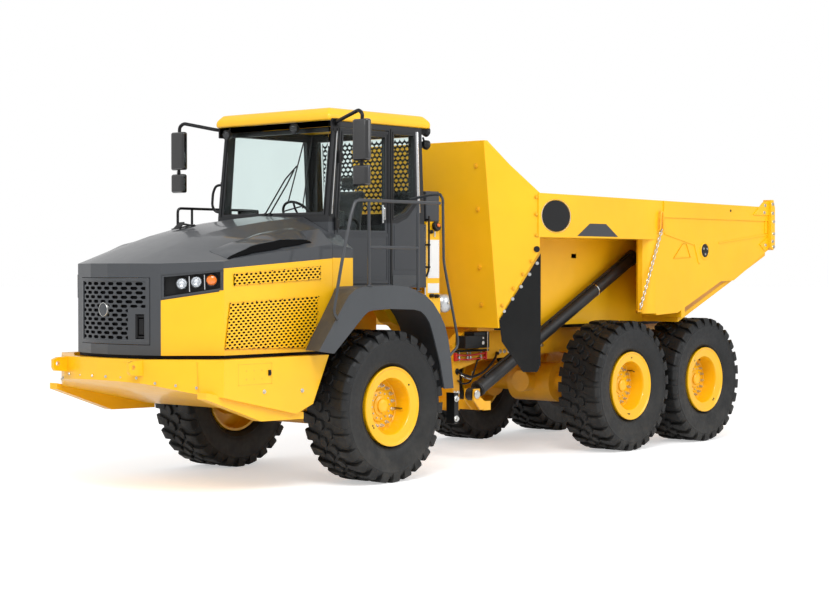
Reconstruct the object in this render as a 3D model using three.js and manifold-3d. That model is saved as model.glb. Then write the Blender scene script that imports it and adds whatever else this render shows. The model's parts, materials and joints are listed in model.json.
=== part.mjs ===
// Articulated dump truck: front unit with cab, pivot and roll joint, rear unit with a tipping bed.
// Millimetres. -Y is forward, +X is the machine's left, +Z is up, origin on the ground at mid-box.
import * as THREE from 'three';
import { mergeVertices } from 'three/addons/utils/BufferGeometryUtils.js';
import Module from 'manifold-3d';

const wasm = await Module();
wasm.setup();

// ---- driving dimensions ----
const gap = 0.4;                     // between pieces that touch
const noseY = -2755;                 // tips of the towing lugs, from the front axle
const tailEndY = 7540;               // tail plates
const frontAxleY = -(noseY + tailEndY) / 2;
const midAxleY = 4244;               // behind the front axle
const rearAxleY = 5870;
const tyreRadius = 773;
const tyreWidth = 560;
const wheelTrack = 2240;             // between the tyres' middles
const rimRadius = 404;
const pivotY = 1350;                 // steering pivot behind the front axle
const rollZ = 820;                   // axis of the roll joint
const tipPivot = { y: 6500, z: 1560 };
const tipPinBarrel = { x: 850, y: 1893, z: 775 };
const tipPinRod = { x: 850, y: 5222, z: 2404 };
const steerPinBarrel = { x: 520, y: 160, z: 960 };
const steerPinRod = { x: 430, y: 1600, z: 960 };
const bedHalfWidth = 1330;
const bedTop = 3007;
const cabHalfWidth = 820;
const wall = 60;                     // bed plate with its ribs
const cabWall = 60;
const cabFloor = 1960;

// ---- materials ----
const paint = (color, roughness, metalness = 0) =>
  new THREE.MeshStandardMaterial({ color, roughness, metalness });
const yellow = () => paint(0xfdc714, 0.35);
const grey = () => paint(0x53565a, 0.4);
const black = () => paint(0x1c1d1f, 0.6);
const steel = () => paint(0xc4c6c8, 0.25, 1);
const rubber = () => paint(0x2a2c2e, 0.85);
const glass = () => paint(0xbfd0d4, 0.05);
const cloth = () => paint(0x2c2e31, 0.9);

// ---- solids ----
function toSolid(geometry) {
  const g = geometry.clone();
  g.deleteAttribute('normal');
  g.deleteAttribute('uv');
  const merged = mergeVertices(g, 1e-3);
  return new wasm.Manifold(new wasm.Mesh({
    numProp: 3,
    vertProperties: new Float32Array(merged.attributes.position.array),
    triVerts: new Uint32Array(merged.index.array),
  }));
}

function toGeometry(solid) {
  const mesh = solid.getMesh();
  const g = new THREE.BufferGeometry();
  g.setAttribute('position', new THREE.BufferAttribute(new Float32Array(mesh.vertProperties), 3));
  g.setIndex(new THREE.BufferAttribute(new Uint32Array(mesh.triVerts), 1));
  g.computeVertexNormals();
  return g;
}

const join = (...solids) => solids.flat().reduce((a, b) => a.add(b));
const cut = (solid, ...tools) => tools.flat().reduce((a, b) => a.subtract(b), solid);

// box between two corners
function box(x0, x1, y0, y1, z0, z1) {
  const g = new THREE.BoxGeometry(x1 - x0, y1 - y0, z1 - z0);
  g.translate((x0 + x1) / 2, (y0 + y1) / 2, (z0 + z1) / 2);
  return toSolid(g);
}

// round bar between two points
function bar(from, to, radius, sides = 16, endRadius = radius) {
  const a = new THREE.Vector3(...from);
  const b = new THREE.Vector3(...to);
  const g = new THREE.CylinderGeometry(endRadius, radius, a.distanceTo(b), sides);
  const turn = new THREE.Quaternion().setFromUnitVectors(
    new THREE.Vector3(0, 1, 0), b.clone().sub(a).normalize());
  g.applyQuaternion(turn);
  const middle = a.clone().add(b).multiplyScalar(0.5);
  g.translate(middle.x, middle.y, middle.z);
  return toSolid(g);
}

// chain of round bars with a ball at each bend
function pipe(points, radius, sides = 6) {
  const pieces = [];
  for (let i = 0; i + 1 < points.length; i += 1) {
    pieces.push(bar(points[i], points[i + 1], radius, sides));
    if (i > 0) {
      const ball = new THREE.SphereGeometry(radius, sides, 4);
      ball.translate(...points[i]);
      pieces.push(toSolid(ball));
    }
  }
  return join(pieces);
}

function outline(points) {
  const shape = new THREE.Shape();
  points.forEach(([a, b], i) => (i ? shape.lineTo(a, b) : shape.moveTo(a, b)));
  shape.closePath();
  return shape;
}

// side outline of [y, z] points, from x0 to x1
function sidePlate(points, x0, x1) {
  const g = new THREE.ExtrudeGeometry(outline(points), { depth: x1 - x0, bevelEnabled: false });
  g.applyMatrix4(new THREE.Matrix4().makeBasis(
    new THREE.Vector3(0, 1, 0), new THREE.Vector3(0, 0, 1), new THREE.Vector3(1, 0, 0)));
  g.translate(x0, 0, 0);
  return toSolid(g);
}

// front outline of [x, z] points, from y0 to y1
function frontPlate(points, y0, y1) {
  const g = new THREE.ExtrudeGeometry(outline(points), { depth: y1 - y0, bevelEnabled: false });
  g.rotateX(Math.PI / 2);
  g.translate(0, y1, 0);
  return toSolid(g);
}

// plan outline of [x, y] points, from z0 to z1
function planPlate(points, z0, z1) {
  const g = new THREE.ExtrudeGeometry(outline(points), { depth: z1 - z0, bevelEnabled: false });
  g.translate(0, 0, z0);
  return toSolid(g);
}

// six-sided block from four lower and four upper corners, each set anticlockwise from above
function block(lower, upper) {
  const corners = [...lower, ...upper];
  const quads = [[3, 2, 1, 0], [4, 5, 6, 7], [0, 1, 5, 4], [1, 2, 6, 5], [2, 3, 7, 6], [3, 0, 4, 7]];
  const index = quads.flatMap(([a, b, c, d]) => [a, b, c, a, c, d]);
  const g = new THREE.BufferGeometry();
  g.setAttribute('position', new THREE.Float32BufferAttribute(corners.flat(), 3));
  g.setIndex(index);
  return toSolid(g);
}

// everything from the level z = base up to a surface given as rows of [x, y, z] points.
// Rows run towards +Y and each row towards +X.
function underSurface(rows, base) {
  const columns = rows[0].length;
  const top = rows.flat();
  const at = (row, column) => row * columns + column;
  const low = (index) => index + top.length;
  const index = [];
  const quad = (a, b, c, d) => index.push(a, b, c, a, c, d);
  for (let i = 0; i + 1 < rows.length; i += 1) {
    for (let j = 0; j + 1 < columns; j += 1) {
      const corners = [at(i, j), at(i, j + 1), at(i + 1, j + 1), at(i + 1, j)];
      quad(...corners);
      quad(...corners.reverse().map(low));
    }
    const last = columns - 1;
    quad(at(i, last), low(at(i, last)), low(at(i + 1, last)), at(i + 1, last));
    quad(at(i + 1, 0), low(at(i + 1, 0)), low(at(i, 0)), at(i, 0));
  }
  for (let j = 0; j + 1 < columns; j += 1) {
    const back = rows.length - 1;
    quad(at(0, j), low(at(0, j)), low(at(0, j + 1)), at(0, j + 1));
    quad(at(back, j + 1), low(at(back, j + 1)), low(at(back, j)), at(back, j));
  }
  const g = new THREE.BufferGeometry();
  const corners = [...top, ...top.map(([x, y]) => [x, y, base])];
  g.setAttribute('position', new THREE.Float32BufferAttribute(corners.flat(), 3));
  g.setIndex(index);
  return toSolid(g);
}

const mirror = (solid) => solid.mirror([1, 0, 0]);
const bothSides = (solid) => solid.add(mirror(solid));

// cuts away what another solid takes up, with the gap on every side of it, and keeps the main piece
function clearOf(solid, other) {
  const moves = [-1, 1].flatMap((s) => [[s * gap, 0, 0], [0, s * gap, 0], [0, 0, s * gap]]);
  const left = moves.reduce((rest, move) => rest.subtract(other.translate(move)), solid);
  return left.decompose().reduce((a, b) => (a.volume() > b.volume() ? a : b));
}

// ---- scene graph: everything is laid out from the front axle, then moved to the frame ----
const truck = new THREE.Group();
const layout = new THREE.Group();
layout.position.y = frontAxleY;
truck.add(layout);

function node(name, solid, material) {
  const mesh = new THREE.Mesh(toGeometry(solid), material);
  mesh.name = name;
  layout.add(mesh);
}

function pair(name, leftSolid, material) {
  node(`${name}_left`, leftSolid, material());
  node(`${name}_right`, mirror(leftSolid), material());
}

// ---- wheels ----
// profile points are [radius, across], turned about the axle
function turned(profile, sides) {
  const points = profile.map(([r, a]) => new THREE.Vector2(r, a));
  const g = new THREE.LatheGeometry([...points, points[0]], sides);
  g.rotateX(Math.PI / 2);
  g.rotateY(Math.PI / 2);
  return toSolid(g);
}

function addWheel(place, side, y) {
  const half = tyreWidth / 2;
  const sides = 24;
  const round = 1 / Math.cos(Math.PI / sides);
  const beadRadius = rimRadius - 22;
  const discRadius = 272;              // the recess in the wheel's outer side
  const discFace = 60;
  const hubRadius = 200;
  const tyreProfile = [
    [beadRadius, -half + 70], [rimRadius + 30, -half + 30], [640, -half],
    [tyreRadius * round, -half + 75], [tyreRadius * round, half - 75],
    [640, half], [rimRadius + 30, half - 30], [beadRadius, half - 70],
  ];
  const rimProfile = [
    [beadRadius - 4, -half + 72], [beadRadius - 4, half - 64], [rimRadius, half - 44],
    [rimRadius, half - 22], [discRadius + 10, half - 44], [discRadius, discFace],
    [180, discFace], [165, discFace + 26], [110, discFace + 44], [85, discFace + 75], [0.01, discFace + 82],
    [0.01, -half - 2], [hubRadius, -half - 2], [hubRadius, -60], [rimRadius - 60, -40],
    [rimRadius - 60, -half + 72],
  ];
  const spot = new THREE.Group();
  spot.position.set(side * wheelTrack / 2, y, tyreRadius);
  spot.rotation.x = Math.PI / sides;
  if (side < 0) spot.rotation.z = Math.PI;
  layout.add(spot);
  const tyre = new THREE.Mesh(toGeometry(turned(tyreProfile, sides)), rubber());
  tyre.name = `tyre_${place}`;
  const rim = new THREE.Mesh(toGeometry(turned(rimProfile, sides)), yellow());
  rim.name = `rim_${place}`;
  spot.add(tyre, rim);
}

for (const [row, y] of [['front', 0], ['middle', midAxleY], ['rear', rearAxleY]]) {
  addWheel(`${row}_left`, 1, y);
  addWheel(`${row}_right`, -1, y);
}

// ---- axles ----
function axle(y) {
  const z = tyreRadius;
  return join(
    bar([-820, y, z], [820, y, z], 120),
    bar([-320, y, z], [320, y, z], 240, 20),
    bar([700, y, z], [830, y, z], 215, 20),
    bar([-830, y, z], [-700, y, z], 215, 20),
    bar([0, y - 380, z + 20], [0, y + 330, z + 20], 130, 16),
  );
}
node('front_axle', axle(0), yellow());
node('middle_axle', axle(midAxleY), yellow());
node('rear_axle', axle(rearAxleY), yellow());

// ---- front frame ----
const railTop = 1250;
const axleTop = 1025;
function frontFrame() {
  const rail = box(330, 430, -2100, 900, axleTop, railTop);
  const arm = (z0, z1) => planPlate(
    [[-430, 700], [430, 700], [330, 1150], [190, pivotY + 120], [-190, pivotY + 120], [-330, 1150]],
    z0, z1);
  const saddle = box(330, 430, -420, 420, tyreRadius + 245, axleTop + 20);
  const steerLug = box(400, 600, 100, 220, steerPinBarrel.z + 40, steerPinBarrel.z + 80);
  return join(rail, mirror(rail), box(-430, 430, -2100, -1980, axleTop, railTop),
    box(-430, 430, 600, 900, axleTop, railTop), arm(1030, 1100), arm(560, 620),
    box(-250, 250, 760, 900, 560, 1100), steerLug, mirror(steerLug), saddle, mirror(saddle));
}
node('front_frame', join(frontFrame(), box(-600, 600, -300, 1100, 1880, cabFloor - gap),
  box(-420, 420, 200, 800, railTop - 10, 1900)), yellow());
node('engine_block', box(-320, 320, -1900, -560, railTop + 20, 2080), grey());

// ---- bumper and belly ----
const bumperTop = 1318;
const bumperWall = 90;
const bellyWall = 45;
const lugX = 560;
const bumperHalfPlan = [[300, -2628], [590, -2590], [1061, -2258], [1202, -2147]];
function bumperPlan(inset) {
  const left = bumperHalfPlan.map(([x, y]) => [x - inset * x / 1202, y + inset]);
  const right = left.map(([x, y]) => [-x, y]).reverse();
  const back = -600;
  return [...right, [0, -2640 + inset], ...left, [1200 - inset, back], [-1200 + inset, back]];
}
// solid above the sloping underside, raised by some distance
function aboveBelly(raise) {
  const under = [[-2700, 1130], [-2640, 1110], [-2300, 1000], [-1198, 763], [-969, 848], [-748, 1311]];
  const line = under.map(([y, z]) => [y, z + raise]);
  return sidePlate([...line, [-748, 1500], [-2700, 1500]], -1300, 1300);
}
function bumper() {
  const outer = planPlate(bumperPlan(0), 700, bumperTop).intersect(aboveBelly(0));
  const inner = planPlate(bumperPlan(bumperWall), 700, bumperTop + 10)
    .intersect(sidePlate([[-2700, 1130 + bellyWall], [-2640, 1110 + bellyWall], [-2300, 1000 + bellyWall],
      [-1198, 763 + bellyWall], [-500, 700], [-500, 1500], [-2700, 1500]], -1300, 1300));
  const keel = sidePlate([[-2330, 960], [-1630, 715], [-1060, 705], [-1060, 770], [-1198, 790], [-2330,
    1020]],
    1040, 1160);
  const plate = sidePlate([[-2755, 1210], [-2735, 1180], [-2500, 1160], [-2500, 1310], [-2700, 1310],
    [-2755, 1290]],
    lugX - 20, lugX + 20);
  const eye = bar([lugX - 30, -2705, 1248], [lugX + 30, -2705, 1248], 24, 12);
  const post = box(335, 425, -2250, -2112, 990, 1240);
  return join(cut(outer, inner), bothSides(keel), bothSides(cut(plate, eye)), bothSides(post));
}
node('bumper', bumper(), yellow());

// ---- hood ----
const hoodLow = 1349;
const hoodWall = 50;
const hoodBack = -548;
const doorHalf = 500;
const grilleLow = 1450;
const grilleTop = 2075;
// roof points from the middle outwards, row after row from the front lip to the back
const roofRows = [
  [[0, -2536, 2214], [290, -2504, 2214], [611, -2404, 2212], [1035, -1990, 2233]],
  [[0, -2080, 2372], [340, -2080, 2362], [690, -2000, 2325], [1040, -1850, 2256]],
  [[0, -1700, 2505], [370, -1700, 2488], [735, -1660, 2408], [1045, -1600, 2292]],
  [[0, -1300, 2598], [405, -1300, 2575], [790, -1270, 2482], [1050, -1200, 2338]],
  [[0, -900, 2668], [440, -900, 2635], [840, -900, 2530], [1055, -900, 2370]],
  [[0, hoodBack, 2705], [480, hoodBack, 2672], [880, hoodBack, 2560], [1060, hoodBack, 2408]],
];
const wholeRow = (row) => [...row.slice(1).reverse().map(([x, y, z]) => [-x, y, z]), ...row];
const inset = (rows, side, front, drop) => rows.map((row) => row.map(([x, y, z]) =>
  [x * (1 - side / 1060), y + front, z - drop]));

// the face between the front and the side, seen in plan: u runs along it and d into the hood
const faceFrom = new THREE.Vector2(611, -2404);
const faceAlong = new THREE.Vector2(1035 - 611, -1990 + 2404).normalize();
function facePlan(u, d) {
  return [faceFrom.x + faceAlong.x * u - faceAlong.y * d, faceFrom.y + faceAlong.y * u + faceAlong.x * d];
}
// block on that face; low and high are [z at u0, z at u1]
function faceBlock(u0, u1, d0, d1, low, high) {
  const level = (z) => [[...facePlan(u0, d0), z[0]], [...facePlan(u1, d0), z[1]],
    [...facePlan(u1, d1), z[1]], [...facePlan(u0, d1), z[0]]];
  return block(level(low), level(high));
}
const lampWellLow = [1900, 1980];
const lampWellHigh = [2086, 2136];
const backCorner = sidePlate([[hoodBack - 190, 1300], [hoodBack + 200, 1300], [hoodBack + 200, 1900],
  [hoodBack, 1650]], -1200, 1200);
function hoodShell() {
  const rows = roofRows.map(wholeRow);
  const outer = underSurface(rows, hoodLow);
  const insideRows = inset(rows, hoodWall, hoodWall, hoodWall);
  const inner = underSurface([...insideRows, insideRows.at(-1).map(([x, y, z]) => [x, y + 100, z])],
    hoodLow - 30);
  const wellBody = faceBlock(8, 575, 5, 190, [1850, 1930], [2150, 2190]).intersect(outer);
  const well = faceBlock(32, 560, -20, 110, lampWellLow, lampWellHigh);
  const opening = box(-doorHalf - 5, doorHalf + 5, -2700, -2250, grilleLow - 5, grilleTop + 5);
  return cut(join(cut(outer, inner), bothSides(wellBody)), bothSides(well), opening, backCorner);
}
const hoodBody = hoodShell();
const sideRegion = join(
  sidePlate([[-2020, 1300], [-2020, 1961], [-1992, 1961], [-1992, 2166], [hoodBack + 20, 2268],
    [hoodBack + 20, 1300]], 950, 1200),
  faceBlock(4, 640, -60, 60, [1300, 1300], [1868, 1962]));
const hoodSideLeft = hoodBody.intersect(sideRegion);
pair('hood_side', hoodSideLeft, yellow);
node('hood', clearOf(hoodBody, bothSides(hoodSideLeft)), grey());

const grilleThick = 45;
function grilleDoorPlan() {
  const front = [];
  const steps = 6;
  const crown = 1480;
  for (let i = 0; i <= steps; i += 1) {
    const x = -doorHalf + 2 * doorHalf * i / steps;
    front.push([x, -2532 + crown - Math.sqrt(crown ** 2 - x ** 2)]);
  }
  return [...front, ...[...front].reverse().map(([x, y]) => [x, y + grilleThick])];
}
node('grille_door', planPlate(grilleDoorPlan(), grilleLow, grilleTop), grey());

// ---- cowl between the hood and the cab ----
const cowlFront = hoodBack + 4;
const cowlBack = -368;
const cowlEnd = -250;
function cowlShell(side, drop) {
  const width = (x) => x * (1 - side / 1060);
  const row = (y, levels) => wholeRow([0, 480, 880, 1060].map((x, i) => [width(x), y, levels[i] - drop]));
  return underSurface([
    row(cowlFront - side, [2705, 2672, 2560, 2408]), row(cowlBack, [2716, 2690, 2510, 2385]),
    row(cowlEnd + side, [2716, 2690, 2500, 2362])], 1500);
}
const cowlSkirt = sidePlate([[cowlFront - 60, 1400], [cowlEnd + 60, 1400], [cowlEnd + 60, 1972],
  [cowlFront + 2, 1655], [cowlFront - 60, 1655]], -1200, 1200);
const cowl = cut(cowlShell(0, 0), cowlShell(hoodWall, hoodWall), cowlSkirt,
  box(-822, 822, cowlBack, 0, 0, 3000), box(-875, 875, -305, 0, 0, 3000));

// ---- cab ----
const cabTop = 3667;
const cabBack = 1160;
const cabFrontLow = -360;
const cabFrontHigh = -250;
const doorBack = 560;
function cabShell() {
  const side = [[cabFrontLow, cabFloor], [cabBack, cabFloor], [cabBack - 80, cabTop], [cabFrontHigh, cabTop],
    [cabFrontLow, 2700]];
  const outer = sidePlate(side, -cabHalfWidth, cabHalfWidth);
  const room = box(-cabHalfWidth + cabWall, cabHalfWidth - cabWall, cabFrontLow + 80, cabBack - 140,
    cabFloor + cabWall, cabTop + 10);
  const screenHole = box(-740, 740, -500, -100, 2740, cabTop - 60);
  const doorway = sidePlate([[-270, cabFloor + 40], [doorBack, cabFloor + 40], [doorBack, cabTop - 60],
    [-190, cabTop - 60], [-270, 2700]], 700, 900);
  const rearSide = sidePlate([[640, 2700], [820, 2760], [980, 2900], [960, cabTop - 90], [640,
    cabTop - 90]], 700, 900);
  const rightSide = sidePlate([[-220, 2750], [980, 2750], [940, cabTop - 90], [-150, cabTop - 90]], -900,
    -700);
  const rearHole = box(-680, 680, 900, 1300, 2760, cabTop - 90);
  return cut(outer, room, screenHole, doorway, rearSide, rightSide, rearHole);
}
node('cab_shell', cabShell(), grey());

const roof = cut(
  join(box(-840, 840, -370, 1210, cabTop + gap, 3735),
    block([[-840, -370, 3735], [840, -370, 3735], [840, 1210, 3735], [-840, 1210, 3735]],
      [[-790, -310, 3800], [790, -310, 3800], [780, 1150, 3800], [-780, 1150, 3800]])),
  box(-740, 740, -200, 1000, 3600, 3740));
node('cab_roof', roof, yellow());

function cabDoor() {
  const leaf = sidePlate([[-264, cabFloor + 46], [doorBack - 6, cabFloor + 46], [doorBack - 6, cabTop - 66],
    [-184, cabTop - 66], [-264, 2700]], cabHalfWidth - 55, cabHalfWidth);
  const pane = sidePlate([[-200, 2560], [doorBack - 60, 2560], [doorBack - 60, cabTop - 130], [-130,
    cabTop - 130],
    [-200, 2710]], 700, 900);
  return cut(leaf, pane);
}
node('cab_door', cabDoor(), grey());
node('door_glass', sidePlate([[-199, 2561], [doorBack - 61, 2561], [doorBack - 61, cabTop - 131],
  [-130, cabTop - 131], [-199, 2710]], cabHalfWidth - 30, cabHalfWidth - 22), glass());
node('windscreen', sidePlate([[-352, 2745], [-344, 2745], [-256, cabTop - 65], [-264, cabTop - 65]],
  -735, 735), glass());
node('rear_window', sidePlate([[1085, 2765], [1093, 2765], [1045, cabTop - 95], [1037, cabTop - 95]],
  -675, 675), glass());
node('side_window_left', sidePlate([[642, 2703], [820, 2763], [978, 2902], [958, cabTop - 92], [642,
  cabTop - 92]],
  cabHalfWidth - 40, cabHalfWidth - 32), glass());
node('side_window_right', sidePlate([[-217, 2752], [978, 2752], [938, cabTop - 92], [-147, cabTop - 92]],
  -cabHalfWidth + 32, -cabHalfWidth + 40), glass());

// ---- inside the cab ----
const seatY = 480;
node('seat_base', join(box(-200, 200, seatY - 180, seatY + 180, cabFloor + cabWall + gap, 2330),
  box(-240, 240, seatY - 220, seatY + 240, 2330, 2380)), black());
node('seat_pads', join(box(-250, 250, seatY - 240, seatY + 240, 2380 + gap, 2500),
  block([[-240, seatY + 180, 2480], [240, seatY + 180, 2480], [240, seatY + 290, 2480], [-240,
    seatY + 290, 2480]],
    [[-220, seatY + 330, 3180], [220, seatY + 330, 3180], [220, seatY + 430, 3180], [-220, seatY + 430,
      3180]])),
cloth());
node('dashboard', join(box(-700, 700, cabFrontLow + 90, -120, cabFloor + cabWall + gap, 2650),
  bar([0, -140, 2560], [0, 60, 2700], 40, 12), bar([0, 40, 2690], [0, 70, 2712], 230, 20)), black());

// ---- fenders ----
const archTop = [[-1110, 1369], [-690, 1900], [-590, 1960], [-488, 1985], [-55, 1997], [180, 1980], [302,
  1948],
  [460, 1890], [578, 1810], [690, 1690], [765, 1578], [820, 1430], [860, 1255], [907, 916]];
const archUnder = [[862, 916], [812, 1250], [772, 1420], [722, 1550], [648, 1660], [545, 1765], [440, 1842],
  [290, 1898], [170, 1930], [-55, 1947], [-470, 1935], [-560, 1912], [-655, 1865], [-1060, 1369]];
const lipUnder = [[762, 916], [694, 1185], [578, 1492], [530, 1600], [460, 1680], [390, 1725], [302, 1746],
  [-100, 1760], [-338, 1750], [-410, 1735], [-467, 1700], [-896, 1340]];
const fenderIn = 1068;
const fenderOut = 1400;
function fender() {
  const sheet = sidePlate([...archTop, ...archUnder], 822, fenderOut);
  const lip = sidePlate([...archTop, ...lipUnder], fenderOut - 2, fenderOut + 16);
  const behindHood = box(0, fenderIn, -1200, cowlEnd + 8, 900, 2100);
  const bracket = box(602, 830, -60, 60, 1890, 1940);
  return join(cut(sheet, behindHood), lip, bracket);
}
const fenderLeft = fender();
pair('fender', fenderLeft, grey);
node('cowl', clearOf(cowl, bothSides(fenderLeft)), yellow());

// ---- rails and mirrors ----
function guardRail() {
  const x = 1400;
  const tube = 17;
  const railTop = 2840;
  const post = (y, foot) => bar([x, y, foot + gap], [x, y, railTop], tube, 6);
  return join(
    pipe([[1436, -868, 1665], [1436, -928, 1740], [1418, -782, 2258], [1402, -640, 2700], [x, -590, 2812],
      [x, -545, railTop], [x, 700, railTop]], tube),
    post(-381, 1993), post(359, 1933), bar([x, -381, 2376], [x, 359, 2376], tube, 6));
}
node('guard_rail_left', guardRail(), grey());

function mirrorArm() {
  return join(
    pipe([[815, -255, 3643], [880, -300, 3645], [1300, -420, 3735], [1355, -425, 3700], [1355, -425,
      3640]], 20),
    box(1246, 1464, -490, -392, 3230, 3648), bar([1355, -440, 3240], [1355, -440, 3180], 18, 6),
    box(1252, 1458, -490, -392, 2983, 3192));
}
pair('mirror', mirrorArm().subtract(box(780, 820 + gap, -400, -100, 3500, 3700)), black);

// ---- tanks behind the cab ----
function hydraulicTank() {
  const upper = box(280, 800, cabBack + 20, 1400, 1840, 3000);
  const lower = sidePlate([[490, 1735], [600, 1600], [745, 1550], [1180, 1140], [1310, 930], [1400, 930],
    [1400, 1842], [490, 1842]], 640, 812);
  return join(upper, lower);
}
node('hydraulic_tank', hydraulicTank(), yellow());
node('air_tank', bar([480, 1505, 1785], [800, 1505, 1785], 100, 24), steel());

// ---- pivot yoke ----
function pivotYoke() {
  const lug = box(150, 490, 1540, 1660, steerPinRod.z - 75, steerPinRod.z - 35);
  return join(bar([0, pivotY, 626], [0, pivotY, 1024], 150, 24), box(-200, 200, pivotY, 1600, 660, 990),
    bar([0, 1570, rollZ], [0, 1640, rollZ], 240, 24), bar([0, 1600, rollZ], [0, 1990, rollZ], 185, 24),
    lug, mirror(lug));
}
node('pivot_yoke', pivotYoke(), black());

// ---- rear frame ----
const rearRailLow = 1120;
const rearRailTop = 1450;
function rearFrame() {
  const ring = cut(bar([0, 1660, rollZ], [0, 2100, rollZ], 260, 24), bar([0, 1600, rollZ], [0, 1995,
    rollZ], 192, 24));
  const rail = sidePlate([[2040, 1000], [2600, rearRailLow], [6560, rearRailLow + 100], [6590, 1560],
    [6500, 1640],
    [6400, 1600], [6250, rearRailTop], [2250, rearRailTop], [2040, 1300]], 330, 450);
  const bore = bar([300, tipPivot.y, tipPivot.z], [500, tipPivot.y, tipPivot.z], 52, 24);
  const pinPlate = (x0, x1) => sidePlate([[1840, 715], [1960, 600], [2140, 600],
    [2140, 690], [2040, 690], [1950, 750], [1950, 835], [1850, 835]], x0, x1);
  const head = box(-450, 450, 2040, 2160, 560, 1300);
  const beam = box(-920, 920, 2020, 2140, 590, 690);
  return join(ring, head, beam, ...[rail, mirror(rail)].map((r, i) => cut(r, i ? mirror(bore) : bore)),
    ...[[780, 800], [900, 920], [-800, -780], [-920, -900]].map(([a, b]) => pinPlate(a, b)),
    box(-440, 440, 3400, 3560, rearRailLow + 30, rearRailTop - 40),
    box(-440, 440, 4980, 5140, rearRailLow + 60, rearRailTop - 40),
    box(-440, 440, 6260, 6380, 1240, rearRailTop - 20));
}
node('rear_frame', rearFrame(), yellow());
const beamY = (midAxleY + rearAxleY) / 2;
pair('walking_beam', join(sidePlate([[midAxleY - 130, 925], [midAxleY + 130, 900], [beamY, 860],
  [rearAxleY - 130, 900],
  [rearAxleY + 130, 925], [rearAxleY + 130, 980], [beamY + 150, 1100], [beamY - 150, 1100],
    [midAxleY - 130, 980]],
  500, 620), bar([455, beamY, 1000], [560, beamY, 1000], 70, 16)), yellow);

// ---- bed ----
const bedFloor = 1500;
const bedFront = 2165;
const canopyY = 1915;
const canopyZ = 3576;
const wingX = 1000;
const narrowX = 680;
const shelfLow = 2515;
const recessBack = 4830;              // where the outer side starts again behind the cylinder
const recessBend = { x: 905, y: 5560 };
const recessDeep = 5760;
const tailY = 7500;
const bedTailTop = 2968;
function bedFloorPlate() {
  const flat = box(-narrowX, narrowX, bedFront + 72, 5460, bedFloor, bedFloor + wall);
  const rise = sidePlate([[5400, bedFloor], [tailY, 2330], [tailY, 2390], [5400, bedFloor + wall]],
    -1268, 1268);
  return join(flat, rise);
}
node('bed_floor', bedFloorPlate(), yellow());

function bedFrontWall() {
  const slope = (canopyY - bedFront) / (canopyZ - 1590);
  const y = (z) => bedFront + (z - 1590) * slope;
  return block(
    [[-wingX, y(bedFloor), bedFloor], [wingX, y(bedFloor), bedFloor], [wingX, y(bedFloor) + wall, bedFloor],
      [-wingX, y(bedFloor) + wall, bedFloor]],
    [[-wingX, y(canopyZ), canopyZ], [wingX, y(canopyZ), canopyZ], [wingX, y(canopyZ) + wall, canopyZ],
      [-wingX, y(canopyZ) + wall, canopyZ]]);
}
node('bed_front_wall', bedFrontWall(), yellow());

function bedSide() {
  const upper = sidePlate([[2480, shelfLow], [2480, bedTop], [tailY, bedTailTop], [tailY, 2420], [7180, 2280],
    [6950, 2160], [6610, 2010], [6300, 2000], [5300, 1620], [recessBack, 1600], [recessBack, shelfLow]],
  bedHalfWidth - wall, bedHalfWidth);
  const shelf = planPlate([[narrowX, 2480], [bedHalfWidth, 2480], [bedHalfWidth, recessBack + 60],
    [recessBend.x, recessBend.y + 60], [narrowX, recessDeep]], shelfLow, shelfLow + wall);
  const low = box(narrowX + gap, narrowX + wall, 2240, recessDeep, bedFloor, shelfLow + 30);
  const nose = [[bedHalfWidth, 4830], [1318, 4755], [1290, 4690], [1245, 4650], [1190, 4640], [1150, 4665]];
  const oblique = planPlate([...nose, [recessBend.x, recessBend.y], [narrowX + 20, recessDeep - 60],
    [narrowX + 20, recessDeep], [recessBend.x + 20, recessBend.y + 80], [bedHalfWidth, recessBack + 100]],
  1620, shelfLow + 30);
  const lip = sidePlate([[2480, bedTop - 150], [2480, bedTop], [tailY, bedTailTop], [tailY,
    bedTailTop - 150]],
    bedHalfWidth - 90, bedHalfWidth - 10);
  const rail = sidePlate([[4970, 2785], [4970, 2986], [tailY, bedTailTop], [tailY, 2785]], bedHalfWidth - 10,
    bedHalfWidth + 14);
  const skirt = box(narrowX + 20, bedHalfWidth, 5380, 5460, 1560 + gap, 1700);
  const tail = sidePlate([[tailY - 60, 2440], [tailY - 60, 3065], [tailY, 3065], [tailY + 40, 2960],
    [tailY + 40, 2440],
    [tailY, 2405]], bedHalfWidth - 60, bedHalfWidth + 60);
  const fold = sidePlate([[6230, 2481], [6230, 2493], [tailY, 2626], [tailY, 2604]], bedHalfWidth - 10,
    bedHalfWidth + 10);
  return join(upper, shelf, low, oblique, lip, rail, tail, fold, skirt);
}
function bedWing() {
  return block(
    [[wingX + gap, bedFront + gap, 1600], [bedHalfWidth, 2500, 2368], [bedHalfWidth - 50, 2500, 2368],
      [wingX + gap, bedFront + 62, 1600]],
    [[wingX + gap, canopyY, canopyZ], [bedHalfWidth, 2500, bedTop], [bedHalfWidth - 50, 2500, bedTop],
      [wingX + gap, canopyY + 62, canopyZ]]);
}
pair('bed_side', clearOf(join(bedSide(), bedWing()), join(bedFloorPlate(), bedFrontWall())), yellow);
const flapPlan = [[1003, 2185], [1330, 2520], [1316, 2534], [989, 2199]];
const flapFace = [[1003, 1590], [1022, 1350], [1190, 1010], [1290, 1010], [1335, 1130], [1335, 2350]];
pair('mud_flap', planPlate(flapPlan, 900, 2400).intersect(frontPlate(flapFace, 2100, 2600)), black);

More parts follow.
